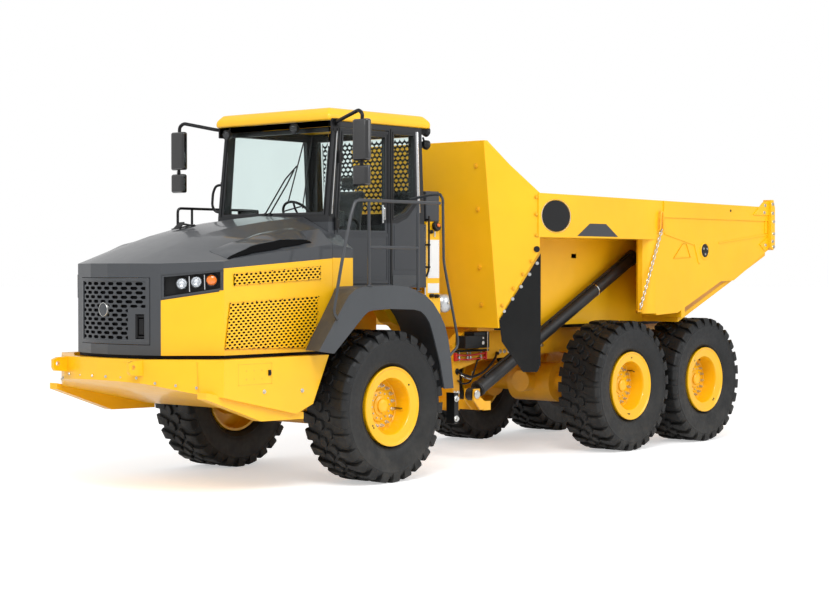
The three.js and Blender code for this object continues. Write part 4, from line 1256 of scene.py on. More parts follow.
def steering_wheel(bm):
    hub = at(0, 0.052, 2.700)
    ring = bmesh.new()
    bmesh.ops.create_circle(ring, segments=10, radius=0.014,
                            matrix=Matrix.Translation((0.208, 0, 0)) @ Matrix.Rotation(math.pi / 2, 4, "X"))
    bmesh.ops.spin(ring, geom=ring.verts[:] + ring.edges[:], cent=(0, 0, 0), axis=(0, 0, 1), dvec=(0, 0, 0),
                   angle=math.tau, steps=48, use_merge=True, use_duplicate=False)
    bmesh.ops.recalc_face_normals(ring, faces=ring.faces)
    add(bm, ring, facing(WHEEL_AXIS, hub))
    turned(bm, [(0, 0.018), (0.040, 0.016), (0.052, 0.006), (0.052, -0.022), (0.030, -0.050), (0, -0.050)],
           hub, WHEEL_AXIS, 28)
    turn = facing(WHEEL_AXIS, hub)
    for angle in (0.15, math.pi - 0.15, -math.pi / 2):
        reach = Vector((math.cos(angle), math.sin(angle), 0))
        pipe(bm, [turn @ (reach * 0.045), turn @ (reach * 0.13 - UP * 0.010), turn @ (reach * 0.205)], 0.011,
             8, 0.03)
    pipe(bm, [at(0, 0.025, 2.680), at(0, -0.120, 2.572)], 0.036, 14)


def dash_body(bm):
    """Console across the cab's front."""
    outline = [(-0.268, 2.022), (-0.122, 2.022), (-0.122, 2.420), (-0.150, 2.560), (-0.190, 2.640),
               (-0.268, 2.650)]
    plate(bm, [at(-0.698, y, z) for y, z in outline], LEFT * 1.396, 0.014, 3)


def dash_cowl(bm):
    outline = [(-0.255, 2.640), (-0.150, 2.560), (-0.085, 2.600), (-0.110, 2.690), (-0.200, 2.710)]
    plate(bm, [at(-0.210, y, z) for y, z in outline], LEFT * 0.420, 0.016, 3)
    block(bm, at(0.500, -0.170, 2.600), at(0.690, 0.020, 2.760), 0.012)
    block(bm, at(-0.690, -0.200, 2.642), at(-0.420, -0.130, 2.790), 0.014)
    block(bm, at(-0.640, 0.200, 2.030), at(-0.400, 0.780, 2.560), 0.020)
    pipe(bm, [at(-0.480, 0.330, 2.556), at(-0.475, 0.315, 2.640), at(-0.470, 0.310, 2.700)], 0.016, 12)


single("steering_wheel", "root", black_mould, "black_plastic", steering_wheel)
single("dashboard_skin", "root", lining, "black_plastic", dash_body, "dashboard")
single("dash_cowl", "root", black_mould, "black_plastic", dash_cowl)


# ---- seat ----
def inflated(piece, cap, pressure=4.0):
    """Blows a pad up a little as cloth does over foam, and keeps the result."""
    settled = [v.co.copy() for v in piece.data.vertices]
    cloth = piece.modifiers.new("cloth", "CLOTH")
    cloth.settings.use_pressure = True
    cloth.settings.uniform_pressure_force = pressure
    cloth.settings.effector_weights.gravity = 0
    cloth.settings.quality = 5
    scene = bpy.context.scene
    for frame_number in range(1, 13):
        scene.frame_set(frame_number)
    grown = piece.evaluated_get(bpy.context.evaluated_depsgraph_get()).to_mesh()
    moved = [v.co.copy() for v in grown.vertices]
    piece.modifiers.remove(cloth)
    scene.frame_set(1)
    for v, before, after in zip(piece.data.vertices, settled, moved):
        step = after - before
        if step.length > cap:
            step = step.normalized() * cap
        v.co = before + step
    piece.data.update()


def cushion(name, low, high, lean=0.0, crown=0.0):
    """A padded seat piece: a voxel-meshed block, blown up, then one subdivision."""
    bm = bmesh.new()
    low, high = Vector(low), Vector(high)
    block(bm, low, high, 0.030)
    foot = Vector(((low.x + high.x) / 2, (low.y + high.y) / 2, low.z))
    bmesh.ops.rotate(bm, cent=foot, matrix=Matrix.Rotation(lean, 3, "X"), verts=bm.verts)
    piece = put(bm, name, "root", seat_weave, "seat_cloth")
    piece.modifiers.clear()
    remesh = piece.modifiers.new("remesh", "REMESH")
    remesh.mode = "VOXEL"
    remesh.voxel_size = 0.010
    mesh = bpy.data.meshes.new_from_object(piece.evaluated_get(bpy.context.evaluated_depsgraph_get()))
    piece.modifiers.clear()
    mesh.materials.clear()
    mesh.materials.append(seat_weave)
    piece.data = mesh
    inflated(piece, 0.014)
    piece.data.shade_smooth()
    rounder = piece.modifiers.new("rounder", "SUBSURF")
    rounder.levels = rounder.render_levels = 1
    return piece


def add_seat():
    seat_pan = cushion("seat_cushion", at(-0.235, 0.255, 2.398), at(0.235, 0.700, 2.488))
    backrest = cushion("seat_backrest", at(-0.215, 0.700, 2.500), at(0.215, 0.790, 3.020), -0.145)
    headrest = cushion("seat_headrest", at(-0.120, 0.790, 3.035), at(0.120, 0.860, 3.165), -0.145)
    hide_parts("seat_pads")


add_seat()


def seat_sides(bm):
    for x in (-0.262, 0.232):
        block(bm, at(x, 0.300, 2.440), at(x + 0.030, 0.640, 2.480), 0.008)
        pipe(bm, [at(x + 0.015, 0.640, 2.470), at(x + 0.015, 0.700, 2.640), at(x + 0.015, 0.640, 2.690),
                  at(x + 0.015, 0.360, 2.690)], 0.018, 10, 0.05)


single("seat_arms", "root", black_mould, "black_plastic", seat_sides)


# ---- two-tone pieces ----
def split_dress(name, low_name, high_name, height, low_finish, high_finish, width):
    """A CAD node in two finishes that meet at a height."""
    for label, (material, slot), keep_low in ((low_name, low_finish, True), (high_name, high_finish, False)):
        bm = node_mesh(name)
        cut = bmesh.ops.bisect_plane(bm, geom=bm.verts[:] + bm.edges[:] + bm.faces[:],
                                     plane_co=at(0, 0, height), plane_no=(0, 0, 1), clear_outer=keep_low,
                                     clear_inner=not keep_low)
        bmesh.ops.contextual_create(bm,
                                    geom=[e for e in cut["geom_cut"] if isinstance(e, bmesh.types.BMEdge)])
        bmesh.ops.holes_fill(bm, edges=[e for e in bm.edges if e.is_boundary])
        soften(bm, width, 2, 30)
        put(bm, label, BODY_OF[name], material, slot, *([name] if keep_low else []))


split_dress("cowl", "cowl_low", "cowl_high", 2.272, (enamel, "yellow_paint"), (grey_enamel, "grey_paint"),
            0.006)
split_dress("hydraulic_tank", "tank_low", "tank_cover", 2.670, (enamel, "yellow_paint"),
            (cab_grey, "grey_paint"), 0.012)


# ---- tanks behind the cab ----
TANK_SIDE = 0.80


def tank_plates(bm):
    for low, high in ((2.061, 2.475), (1.900, 2.005)):
        block(bm, at(TANK_SIDE - 0.001, 1.205, low), at(TANK_SIDE + 0.003, 1.392, high), 0.001)


def tank_plate_lines(bm):
    """Blank panels printed as outlines only."""
    for low, high in ((2.400, 2.462), (2.270, 2.385), (2.150, 2.255), (2.072, 2.135), (1.910, 1.995)):
        border(bm, [at(TANK_SIDE + 0.0028, y, z) for y, z in ((1.220, low), (1.380, low), (1.380, high),
                                                              (1.220, high))],
               0.004, LEFT * 0.0008, 0)


def tank_tube(bm):
    pipe(bm, [at(0.835, 1.185, 1.830 + 0.90), at(0.835, 1.185, 2.150), at(0.815, 1.165, 2.075)], 0.011, 10,
         0.05)
    for z in (2.69, 2.42, 2.18):
        block(bm, at(0.796, 1.170, z - 0.010), at(0.846, 1.200, z + 0.010), 0.003)


def tank_cap(bm):
    turned(bm, [(0, 0.058), (0.026, 0.058), (0.030, 0.050), (0.050, 0.048), (0.055, 0.040), (0.055, 0.012),
                (0.036, 0.008), (0.036, -0.004), (0, -0.004)], at(TANK_SIDE, 1.320, 2.612), (1, 0, 0.35), 28)
    turned(bm, [(0, 0.034), (0.014, 0.034), (0.020, 0.026), (0.022, -0.004), (0, -0.004)],
           at(TANK_SIDE, 1.250, 2.560), LEFT, 20)
    for y, z in ((1.250, 1.872), (1.330, 1.866)):
        turned(bm, [(0, 0.050), (0.018, 0.050), (0.022, 0.040), (0.022, -0.004), (0, -0.004)],
               at(TANK_SIDE, y, z), LEFT, 6)


def tank_cap_top(bm):
    turned(bm, [(0, 0.070), (0.016, 0.070), (0.021, 0.064), (0.021, 0.056), (0, 0.056)],
           at(TANK_SIDE, 1.320, 2.612), (1, 0, 0.35), 24)


def tank_gauge(bm):
    block(bm, at(TANK_SIDE - 0.001, 1.300, 2.505), at(TANK_SIDE + 0.014, 1.322, 2.585), 0.004)
    block(bm, at(TANK_SIDE - 0.001, 1.150, 1.880), at(TANK_SIDE + 0.006, 1.172, 2.640), 0.002)


single("tank_plates", "root", white_plate, "yellow_paint", tank_plates)
single("tank_plate_lines", "root", black_enamel, "black_paint", tank_plate_lines)
single("tank_tube", "root", black_enamel, "black_paint", tank_tube)
single("tank_cap", "root", black_mould, "black_plastic", tank_cap)
single("tank_cap_top", "root", orange_enamel, "black_plastic", tank_cap_top)
single("tank_gauge", "root", bright, "bright_rod", tank_gauge)


def air_tank_ends(bm):
    turned(bm, [(0, 0.040), (0.050, 0.037), (0.085, 0.022), (0.0995, -0.004), (0, -0.004)],
           at(0.80, 1.505, 1.785), LEFT, 32)
    turned(bm, [(0.1005, -0.012), (0.104, -0.009), (0.104, 0.009), (0.1005, 0.012)], at(0.700, 1.505, 1.785),
           LEFT, 32)
    turned(bm, [(0.1005, -0.012), (0.104, -0.009), (0.104, 0.009), (0.1005, 0.012)], at(0.560, 1.505, 1.785),
           LEFT, 32)


def air_tank_fittings(bm):
    turned(bm, [(0, 0.062), (0.013, 0.062), (0.015, 0.052), (0.022, 0.048), (0.022, 0.028), (0, 0.028)],
           at(0.80, 1.505, 1.785), LEFT, 6)
    pipe(bm, [at(0.700, 1.505, 1.684), at(0.700, 1.505, 1.640), at(0.640, 1.440, 1.615)], 0.008, 8, 0.03)
    for x in (0.560, 0.700):
        block(bm, at(x - 0.018, 1.395, 1.700), at(x + 0.018, 1.420, 1.870), 0.004)


single("air_tank_ends", "root", can_steel, "bare_steel", air_tank_ends)
single("air_tank_fittings", "root", bolt_steel, "bare_steel", air_tank_fittings)


# ---- handrails ----
RAIL_X = 1.400


def guard_rail(bm):
    pipe(bm, [at(1.436, -0.868, 1.668), at(1.436, -0.928, 1.740), at(1.418, -0.782, 2.258),
              at(1.402, -0.640, 2.700), at(RAIL_X, -0.590, 2.812), at(RAIL_X, -0.545, 2.840),
              at(RAIL_X, 0.700, 2.840)], 0.0165, 12, 0.06)
    for y, foot in ((-0.381, 1.996), (0.359, 1.936)):
        pipe(bm, [at(RAIL_X, y, foot), at(RAIL_X, y, 2.838)], 0.0165, 12)
        turned(bm, [(0, 0.008), (0.034, 0.008), (0.037, 0.004), (0.037, 0), (0, 0)], at(RAIL_X, y, foot), UP,
               24)
    pipe(bm, [at(RAIL_X, -0.381, 2.376), at(RAIL_X, 0.359, 2.376)], 0.0155, 12)


def rear_rail(bm):
    """Long grab tube behind the fender."""
    pipe(bm, [at(1.200, 0.940, 2.945), at(1.200, 0.985, 2.900), at(1.200, 1.000, 2.234),
              at(1.200, 1.235, 1.400), at(1.200, 1.225, 1.330), at(1.200, 1.097, 1.240)], 0.0145, 12, 0.07)
    pipe(bm, [at(1.200, 0.940, 2.945), at(1.100, 0.920, 2.945), at(0.812, 0.905, 2.900)], 0.0145, 12, 0.05)
    pipe(bm, [at(1.200, 1.097, 1.240), at(1.100, 1.060, 1.230), at(0.806, 1.030, 1.260)], 0.0145, 12, 0.05)


def right_rail(bm):
    """Grab rail on the right fender, with plain upright posts."""
    pipe(bm, [at(-1.200, -0.594, 1.960), at(-1.200, -0.594, 2.812), at(-1.200, 0.560, 2.812),
              at(-1.200, 0.560, 1.820)],
         0.0145, 12, 0.05)
    for y, foot in ((-0.390, 1.990), (0.180, 1.978)):
        pipe(bm, [at(-1.200, y, foot), at(-1.200, y, 2.808)], 0.0135, 12)
    pipe(bm, [at(-1.200, -0.390, 2.376), at(-1.200, 0.180, 2.376)], 0.0130, 12)


single("right_rail", "root", black_enamel, "black_paint", right_rail)
single("guard_rail", "root", cab_grey, "grey_paint", guard_rail, "guard_rail_left")
single("rear_rail", "root", cab_grey, "grey_paint", rear_rail)


# ---- fenders ----
def fender_bracket(bm):
    """Black stay that hangs below the fender's rear end."""
    plate(bm, [at(x, 0.982, z) for x, z in ((1.250, 0.860), (1.392, 0.860), (1.392, 0.560), (1.360, 0.530),
                                            (1.250, 0.530))],
          REAR * 0.018, 0.004)
    block(bm, at(1.384, 0.940, 0.540), at(1.398, 1.010, 0.860), 0.004)


def fender_bracket_bolts(bm):
    bolts(bm, [at(1.398, 0.974, 0.800), at(1.398, 0.974, 0.590)], LEFT, 0.024, 0.020)


for_sides("fender_bracket", "root", black_mould, "black_plastic", fender_bracket)
for_sides("fender_bracket_bolts", "root", bolt_steel, "bare_steel", fender_bracket_bolts)


# ---- rear frame and pivot ----
def control_box(bm):
    block(bm, at(0.452, 2.085, 1.262), at(0.600, 2.520, 1.405), 0.008)
    block(bm, at(0.452, 2.240, 1.400), at(0.600, 2.520, 1.445), 0.008)
    # The thin black strip under the box stands for the gap there: painted shade.
    block(bm, at(0.452, 2.060, 1.218), at(0.500, 2.640, 1.240), 0.004)
    # The black disc stands for the hole the hose goes into: painted shade.
    turned(bm, [(0, 0.010), (0.030, 0.010), (0.036, 0.004), (0.036, -0.002), (0, -0.002)],
           at(0.452, 2.120, 1.000), LEFT, 24)


def control_box_dot(bm):
    turned(bm, [(0, 0.007), (0.018, 0.006), (0.021, 0.002), (0.021, -0.001), (0, -0.001)],
           at(0.600, 2.400, 1.320), LEFT, 24)
    turned(bm, [(0, 0.006), (0.010, 0.006), (0.013, 0.002), (0.013, -0.001), (0, -0.001)],
           at(0.600, 2.400, 1.375), LEFT, 20)


def frame_tubes(bm):
    pipe(bm, [at(0.612, 2.465, 1.445), at(0.612, 2.465, 1.225)], 0.007, 8)
    for y in (2.130, 2.280, 2.330, 2.520):
        pipe(bm, [at(0.470, y, 1.120), at(0.470, y, 1.222)], 0.009, 8)
        turned(bm, [(0, 0.014), (0.014, 0.014), (0.016, 0.008), (0.016, -0.008), (0.014, -0.014),
                    (0, -0.014)],
               at(0.470, y, 1.150), UP, 16)
    pipe(bm, [at(0.452, 2.180, 0.960), at(0.500, 2.200, 0.930), at(0.510, 2.300, 0.900),
              at(0.452, 2.390, 0.990)], 0.009, 8, 0.04)


def lock_bars(bm):
    for z in (1.190, 1.140):
        pipe(bm, [at(0.474, 2.065, z), at(0.474, 2.300, z - 0.014), at(0.474, 2.600, z + 0.004)], 0.010, 10)
    block(bm, at(0.452, 2.050, 1.118), at(0.490, 2.078, 1.212), 0.004)
    block(bm, at(0.452, 2.588, 1.118), at(0.490, 2.614, 1.212), 0.004)


def frame_hoses(bm):
    """Hoses along the frame's side, held at both ends."""
    pipe(bm, [at(0.456, 2.120, 1.000), at(0.520, 2.130, 0.970), at(0.560, 2.250, 0.930),
              at(0.560, 2.480, 0.985), at(0.530, 2.700, 1.120), at(0.456, 2.830, 1.180)], 0.014, 12, 0.12)
    pipe(bm, [at(0.456, 2.120, 0.900), at(0.505, 2.150, 0.860), at(0.515, 2.280, 0.870),
              at(0.456, 2.480, 1.120)], 0.010, 10, 0.10)
    for x, y, z in ((0.456, 2.830, 1.180), (0.456, 2.480, 1.130)):
        turned(bm, [(0, 0.030), (0.018, 0.030), (0.020, 0.020), (0.020, -0.004), (0, -0.004)],
               at(x - 0.004, y, z), LEFT, 6)


def frame_bolts(bm):
    bolts(bm, [at(0.451, y, z) for y, z in ((2.075, 0.640), (2.130, 0.640), (2.075, 0.760), (2.130, 0.760),
                                            (2.900, 1.200), (2.980, 1.200), (3.060, 1.200), (3.500, 1.250),
                                            (3.700, 1.250), (4.900, 1.300), (5.100, 1.300))], LEFT, 0.017,
          0.014)


def bed_underside_strips(bm):
    """A thin black strip along the bed's underside."""
    block(bm, at(0.601, 2.600, 1.457), at(0.606, 6.300, 1.497), 0.001)


for_sides("control_box", "rear_body", black_mould, "black_plastic", control_box)
for_sides("control_box_dot", "rear_body", white_plate, "yellow_paint", control_box_dot)
for_sides("frame_tubes", "rear_body", bolt_steel, "bare_steel", frame_tubes)
for_sides("lock_bars", "rear_body", red_enamel, "black_paint", lock_bars)
for_sides("frame_hoses", "rear_body", hose_rubber, "black_rubber", frame_hoses)
for_sides("frame_bolts", "rear_body", bolt_steel, "bare_steel", frame_bolts)
for_sides("bed_underside_strips", "bed_body", hose_rubber, "black_rubber", bed_underside_strips)


# ---- bed details ----
BED_SIDE = 1.330


def bed_at(y, z, proud=0.0):
    return at(BED_SIDE + proud, y, z)


def oval(cy, cz, ry, rz, count=32):
    return [(cy + ry * math.cos(math.tau * i / count), cz + rz * math.sin(math.tau * i / count))
            for i in range(count)]


def bed_badge(bm):
    plate(bm, [bed_at(y, z, -0.001) for y, z in oval(2.800, 2.755, 0.262, 0.178)], LEFT * 0.006, 0.0015)


def bed_badge_ring(bm):
    border(bm, [bed_at(y, z, -0.001) for y, z in oval(2.800, 2.755, 0.272, 0.188)], 0.020, LEFT * 0.010,
           0.002)


def bed_name_plate(bm):
    """A plain dark plate, left blank."""
    plate(bm, [bed_at(y, z, -0.001) for y, z in ((3.205, 2.535), (4.015, 2.535), (3.770, 2.682),
                                                 (3.450, 2.682))],
          LEFT * 0.005, 0.0015)


def bed_port(bm):
    turned(bm, [(0, 0.004), (0.080, 0.004), (0.084, 0.002), (0.084, -0.001), (0, -0.001)],
           bed_at(5.913, 2.388), LEFT, 36)
    turned(bm, [(0, 0.003), (0.016, 0.003), (0.016, -0.001), (0, -0.001)], bed_at(6.505, 2.901, 0.014), LEFT,
           20)


def bed_port_ring(bm):
    turned(bm, [(0.084, 0.003), (0.088, 0.010), (0.100, 0.012), (0.108, 0.008), (0.110, -0.001),
                (0.084, -0.001)],
           bed_at(5.913, 2.388), LEFT, 36)


def bed_port_bolts(bm):
    for i in range(3):
        angle = math.tau * i / 3 + 0.5
        bolts(bm, [bed_at(5.913 + 0.045 * math.cos(angle), 2.388 + 0.045 * math.sin(angle), 0.003)], LEFT,
              0.016, 0.010, False)


def bed_ridges(bm):
    """Pressed lines and the small triangle on the side."""
    border(bm, [bed_at(y, z, -0.001) for y, z in ((5.196, 2.286), (5.577, 2.301), (5.480, 2.470),
                                                  (5.400, 2.470))], 0.030,
           LEFT * 0.010, 0.004)
    for a, b, drop in (((5.000, 2.600), (5.653, 2.476), 0.022), ((5.653, 2.476), (5.765, 2.225), 0.0)):
        wide = 0.0 if drop else 0.032
        plate(bm, [bed_at(*a, -0.001), bed_at(*b, -0.001), bed_at(b[0] + wide, b[1] - drop, -0.001),
                   bed_at(a[0] + wide, a[1] - drop, -0.001)], LEFT * 0.012, 0.004)
    block(bm, bed_at(7.375, 2.620, -0.001), bed_at(7.425, 2.784, 0.014), 0.005)


def tail_gussets(bm):
    plate(bm, [bed_at(y, z, 0.013) for y, z in ((7.050, 2.860), (7.290, 3.030), (7.441, 3.050),
                                                (7.441, 2.860))], LEFT * 0.014, 0.004)
    plate(bm, [bed_at(y, z, -0.001) for y, z in ((7.240, 2.480), (7.441, 2.570), (7.441, 2.415),
                                                 (7.360, 2.395))], LEFT * 0.014, 0.004)


def tail_bolts(bm):
    bolts(bm, [at(1.390, y, z) for y, z in ((7.480, 3.010), (7.480, 2.890), (7.505, 2.780), (7.505, 2.620),
                                            (7.480, 2.520),
                                            (7.505, 2.450))], LEFT, 0.017, 0.014)
    bolts(bm, [bed_at(7.340, 2.990, 0.027), bed_at(7.320, 2.895, 0.027), bed_at(7.380, 2.470, 0.013)], LEFT,
          0.016, 0.012)


def chain_lug(bm):
    pipe(bm, [bed_at(4.862, 2.620, 0.0), bed_at(4.862, 2.640, 0.034), bed_at(4.872, 2.830, 0.034),
              bed_at(4.896, 2.862, 0.034), bed_at(4.920, 2.830, 0.034), bed_at(4.930, 2.640, 0.034),
              bed_at(4.930, 2.620, 0.0)], 0.012, 12, 0.03)
    plate(bm, [bed_at(y, z, -0.001) for y, z in ((4.840, 2.590), (4.952, 2.590), (4.952, 2.740),
                                                 (4.930, 2.775), (4.862, 2.775), (4.840, 2.740))],
          LEFT * 0.012, 0.004)
    plate(bm, [at(x, y, 1.640) for x, y in ((1.180, 4.700), (1.335, 4.505), (1.300, 4.475), (1.150, 4.645))],
          UP * 0.022, 0.004)


CHAIN_TOP = Vector(at(1.364, 4.896, 2.640))
CHAIN_LOW = Vector(at(1.308, 4.512, 1.676))


def bed_chain(bm):
    """Short-link chain hung between its lug and hook."""
    count = 27
    step = (CHAIN_LOW - CHAIN_TOP) / count
    link = bmesh.new()
    bmesh.ops.create_circle(link, segments=6, radius=0.0058,
                            matrix=Matrix.Translation((0.0135, 0, 0)) @ Matrix.Rotation(math.pi / 2, 4, "X"))
    bmesh.ops.spin(link, geom=link.verts[:] + link.edges[:], cent=(0, 0, 0), axis=(0, 0, 1), dvec=(0, 0, 0),
                   angle=math.tau, steps=12, use_merge=True, use_duplicate=False)
    long_half = step.length / 2 + 0.0080 - 0.0193
    for v in link.verts:
        v.co.y += math.copysign(long_half, v.co.y) if abs(v.co.y) > 1e-6 else 0
    bmesh.ops.recalc_face_normals(link, faces=link.faces)
    turn = step.to_track_quat("Y", "Z").to_matrix().to_4x4()
    twist = [Matrix.Rotation(math.pi / 2 * (i % 2) + 0.5, 4, "Y") for i in range(count)]
    stamp(bm, link, [Matrix.Translation(CHAIN_TOP + step * (i + 0.5)) @ turn @ twist[i]
                     for i in range(count)])


def pin_lug(bm):
    """Outer plate of the tipping cylinder's upper pin."""
    plate(bm, [at(0.925, y, z) for y, z in [(5.120, 2.520), (5.130, 2.380)] +
               [(5.222 + 0.088 * math.cos(a), 2.404 + 0.088 * math.sin(a)) for a in
                (math.pi + 0.35, math.pi + 0.8, math.pi + 1.25, math.pi + 1.7, math.pi + 2.15,
                 math.pi + 2.6)] +
               [(5.324, 2.390), (5.330, 2.520)]], LEFT * 0.024, 0.004)


def pin_cap(bm):
    turned(bm, [(0, 0.020), (0.030, 0.020), (0.036, 0.014), (0.052, 0.012), (0.055, 0.006), (0.055, -0.002),
                (0, -0.002)],
           at(0.949, 5.222, 2.404), LEFT, 28)
    bolts(bm, [at(0.968, 5.222, 2.404)], LEFT, 0.018, 0.012)


def recess_trim(bm):
    block(bm, at(0.679, 3.890, 2.280), at(0.740, 4.000, 2.345), 0.006)
    plate(bm, [at(0.6795, y, z) for y, z in ((2.520, 1.512), (5.350, 1.512), (5.350, 1.640), (2.520, 1.640))],
          LEFT * 0.006, 0.003)


def wall_bolts(bm):
    for x, z in ((0.840, 2.823), (0.800, 2.180), (0.780, 1.760), (0.860, 3.300)):
        bolts(bm, [at(x, 2.165 - (z - 1.590) * 0.1259 - 0.001, z)], -REAR, 0.022, 0.016)


def wing_at(s, t):
    low = Vector(at(1.0, 2.165, 1.600)).lerp(Vector(at(BED_SIDE, 2.500, 2.368)), s)
    high = Vector(at(1.0, 1.915, 3.576)).lerp(Vector(at(BED_SIDE, 2.500, 3.007)), s)
    return low.lerp(high, t)


WING_OUT = Vector((0.86, -0.50, -0.06)).normalized()


def wing_bolts(bm):
    places = [wing_at(s, 0.035) for s in (0.12, 0.38, 0.60, 0.80)] + [wing_at(0.93, t)
                                                                      for t in (0.30, 0.62, 0.88)]
    bolts(bm, places, WING_OUT, 0.015, 0.016)


def wing_slot(bm):
    turned(bm, [(0, 0.012), (0.030, 0.012), (0.034, 0.008), (0.034, -0.010), (0, -0.010)],
           wing_at(0.93, 0.09), WING_OUT, 24)


def flap_bolts(bm):
    """Bolts along the flap's top edge."""
    out = Vector((0.716, -0.698, 0))
    bolts(bm, [at(1.020 + 0.30 * s, 2.200 + 0.308 * s, 1.640 + 0.62 * s) + out * 0.002
               for s in (0.08, 0.3, 0.52, 0.74, 0.94)],
          out, 0.014, 0.012)


for_sides("bed_badge", "bed_body", black_enamel, "black_paint", bed_badge)
for_sides("bed_badge_ring", "bed_body", white_plate, "yellow_paint", bed_badge_ring)
for_sides("bed_name_plate", "bed_body", cab_grey, "grey_paint", bed_name_plate)
for_sides("bed_port", "bed_body", black_mould, "black_plastic", bed_port)
for_sides("bed_port_ring", "bed_body", bed_enamel, "yellow_paint", bed_port_ring)
for_sides("bed_port_bolts", "bed_body", bolt_steel, "bare_steel", bed_port_bolts)
for_sides("bed_ridges", "bed_body", bed_enamel, "yellow_paint", bed_ridges)
for_sides("tail_gussets", "bed_body", bed_enamel, "yellow_paint", tail_gussets)
for_sides("tail_bolts", "bed_body", bolt_steel, "bare_steel", tail_bolts)
for_sides("chain_lug", "bed_body", casting, "yellow_paint", chain_lug)
for_sides("bed_chain", "bed_body", bolt_steel, "bare_steel", bed_chain)
for_sides("pin_lug", "bed_body", bed_enamel, "yellow_paint", pin_lug)
for_sides("pin_cap", "bed_body", bolt_steel, "bare_steel", pin_cap)
for_sides("recess_trim", "bed_body", bed_enamel, "yellow_paint", recess_trim)
for_sides("wall_bolts", "bed_body", casting, "yellow_paint", wall_bolts)
for_sides("wing_bolts", "bed_body", casting, "yellow_paint", wing_bolts)
for_sides("wing_slot", "bed_body", black_mould, "black_plastic", wing_slot)
for_sides("flap_bolts", "bed_body", bolt_steel, "bare_steel", flap_bolts)


# ---- tipping cylinders ----
TIP_FOOT = Vector(at(0.850, 1.893, 0.775))
TIP_HEAD = Vector(at(0.850, 5.222, 2.404))
TIP_WAY = (TIP_HEAD - TIP_FOOT).normalized()
TIP_ABOVE = Vector((0.35, -TIP_WAY.z, TIP_WAY.y)).normalized()


def on_tip(along, away=0.0):
    return TIP_FOOT + TIP_WAY * along + TIP_ABOVE * away


def tip_collars(bm):
    for a, b, r in ((0.115, 0.150, 0.090), (3.420, 3.492, 0.091), (3.380, 3.396, 0.087)):
        turned(bm, [(0.0822, a), (r - 0.003, a), (r, a + 0.004), (r, b - 0.004), (r - 0.003, b), (0.0822, b)],
               TIP_FOOT, TIP_WAY, 36)


def tip_ring(bm):
    turned(bm, [(0.0822, 2.560), (0.0865, 2.561), (0.0865, 2.575), (0.0822, 2.576)], TIP_FOOT, TIP_WAY, 36)
    turned(bm, [(0.052, 3.496), (0.062, 3.497), (0.062, 3.506), (0.052, 3.508)], TIP_FOOT, TIP_WAY, 32)


def tip_pipes(bm):
    pipe(bm, [on_tip(0.260, 0.080), on_tip(0.285, 0.104), on_tip(0.360, 0.106), on_tip(3.300, 0.106),
              on_tip(3.360, 0.104), on_tip(3.385, 0.080)], 0.0105, 10, 0.03)
    for a in (0.80, 1.60, 2.40, 3.10):
        turned(bm, [(0, 0.014), (0.018, 0.014), (0.018, -0.014), (0, -0.014)], on_tip(a, 0.100), TIP_WAY, 6)
    for a in (0.260, 3.385):
        turned(bm, [(0, 0.030), (0.020, 0.030), (0.024, 0.024), (0.024, -0.004), (0, -0.004)],
               on_tip(a, 0.078), TIP_ABOVE, 6)


def tip_foot_cap(bm):
    turned(bm, [(0, 0.022), (0.034, 0.022), (0.040, 0.016), (0.048, 0.012), (0.048, -0.001), (0, -0.001)],
           at(0.920, 1.893, 0.775), LEFT, 28)


for_sides("tip_collars", "tip_barrel_{}_body", iron, "black_paint", tip_collars)
for_sides("tip_rings", "tip_barrel_{}_body", bright, "bright_rod", tip_ring)
for_sides("tip_pipes", "tip_barrel_{}_body", black_enamel, "black_paint", tip_pipes)
for_sides("tip_foot_cap", "rear_body", bolt_steel, "bare_steel", tip_foot_cap)


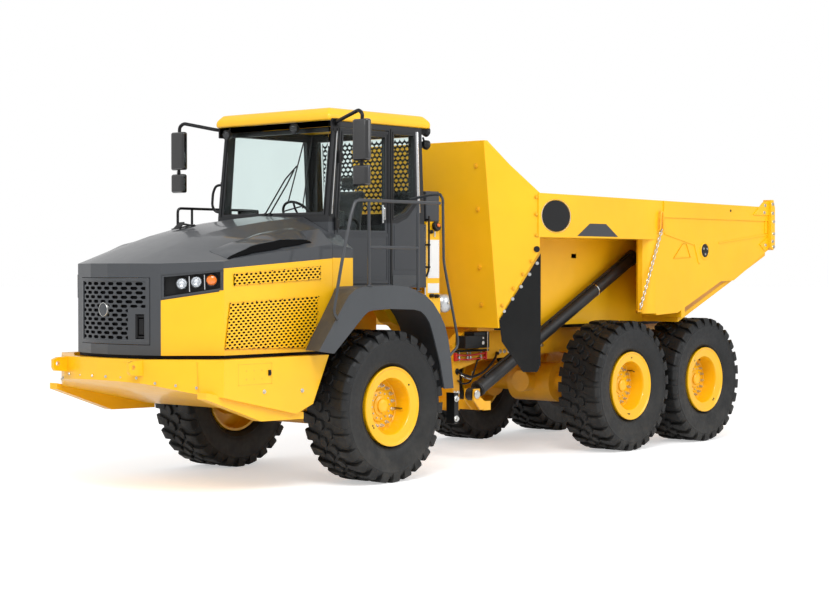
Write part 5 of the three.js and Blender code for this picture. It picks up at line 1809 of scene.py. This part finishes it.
# ---- stage and lights ----
def seen_directly(tree):
    """1 where the camera or a pane looks, less in a reflection, 0 where light falls."""
    path = node_of(tree, "ShaderNodeLightPath")
    highest = node_of(tree, "ShaderNodeMath", operation="MAXIMUM")
    tree.links.new(path.outputs["Is Camera Ray"], highest.inputs[0])
    tree.links.new(path.outputs["Is Transmission Ray"], highest.inputs[1])
    either = node_of(tree, "ShaderNodeMath", operation="MAXIMUM")
    tree.links.new(highest.outputs[0], either.inputs[0])
    tree.links.new(times(tree, path.outputs["Is Glossy Ray"], GLOSS_SHARE), either.inputs[1])
    return either.outputs[0]


GLOSS_SHARE = 0.25
FLOOR_LIFT = 0.46


def add_stage():
    bm = bmesh.new()
    bmesh.ops.create_grid(bm, x_segments=1, y_segments=1, size=400)
    mesh = bpy.data.meshes.new("floor")
    bm.to_mesh(mesh)
    bm.free()
    floor = bpy.data.objects.new("floor", mesh)
    floor.location.z = CAD_BOX[0][2] - 0.001
    material = bpy.data.materials.new("pale floor")
    material.use_nodes = True
    tree = material.node_tree
    shader = tree.nodes["Principled BSDF"]
    shader.inputs["Base Color"].default_value = (0.90, 0.90, 0.905, 1)
    shader.inputs["Roughness"].default_value = 0.75
    shader.inputs["Specular IOR Level"].default_value = 0.15
    shader.inputs["Emission Color"].default_value = (1, 1, 1, 1)
    tree.links.new(times(tree, seen_directly(tree), FLOOR_LIFT), shader.inputs["Emission Strength"])
    mesh.materials.append(material)
    bpy.context.scene.collection.objects.link(floor)


WORLD_LIGHT = 0.62


def add_lights():
    world = bpy.data.worlds.new("studio")
    bpy.context.scene.world = world
    world.use_nodes = True
    tree = world.node_tree
    back = tree.nodes["Background"]
    back.inputs["Color"].default_value = (1, 1, 1, 1)
    tree.links.new(ranged(tree, seen_directly(tree), 0, 1, WORLD_LIGHT, 1), back.inputs["Strength"])
    for name, place, size, power, aim in (
        ("key", (9, -10, 13), 7, 1700, (0, -2, 1)),
        ("side", (14, 5, 8), 8, 700, (0, 2, 1.5)),
        ("front", (-5, -15, 8), 7, 350, (0, -4, 1)),
    ):
        data = bpy.data.lights.new(name, "AREA")
        data.shape = "SQUARE"
        data.size = size
        data.energy = power
        lamp = bpy.data.objects.new(name, data)
        lamp.location = place
        lamp.rotation_euler = (Vector(aim) - Vector(place)).to_track_quat("-Z", "Y").to_euler()
        bpy.context.scene.collection.objects.link(lamp)


add_stage()
add_lights()
scene = bpy.context.scene
scene.view_settings.view_transform = "Standard"
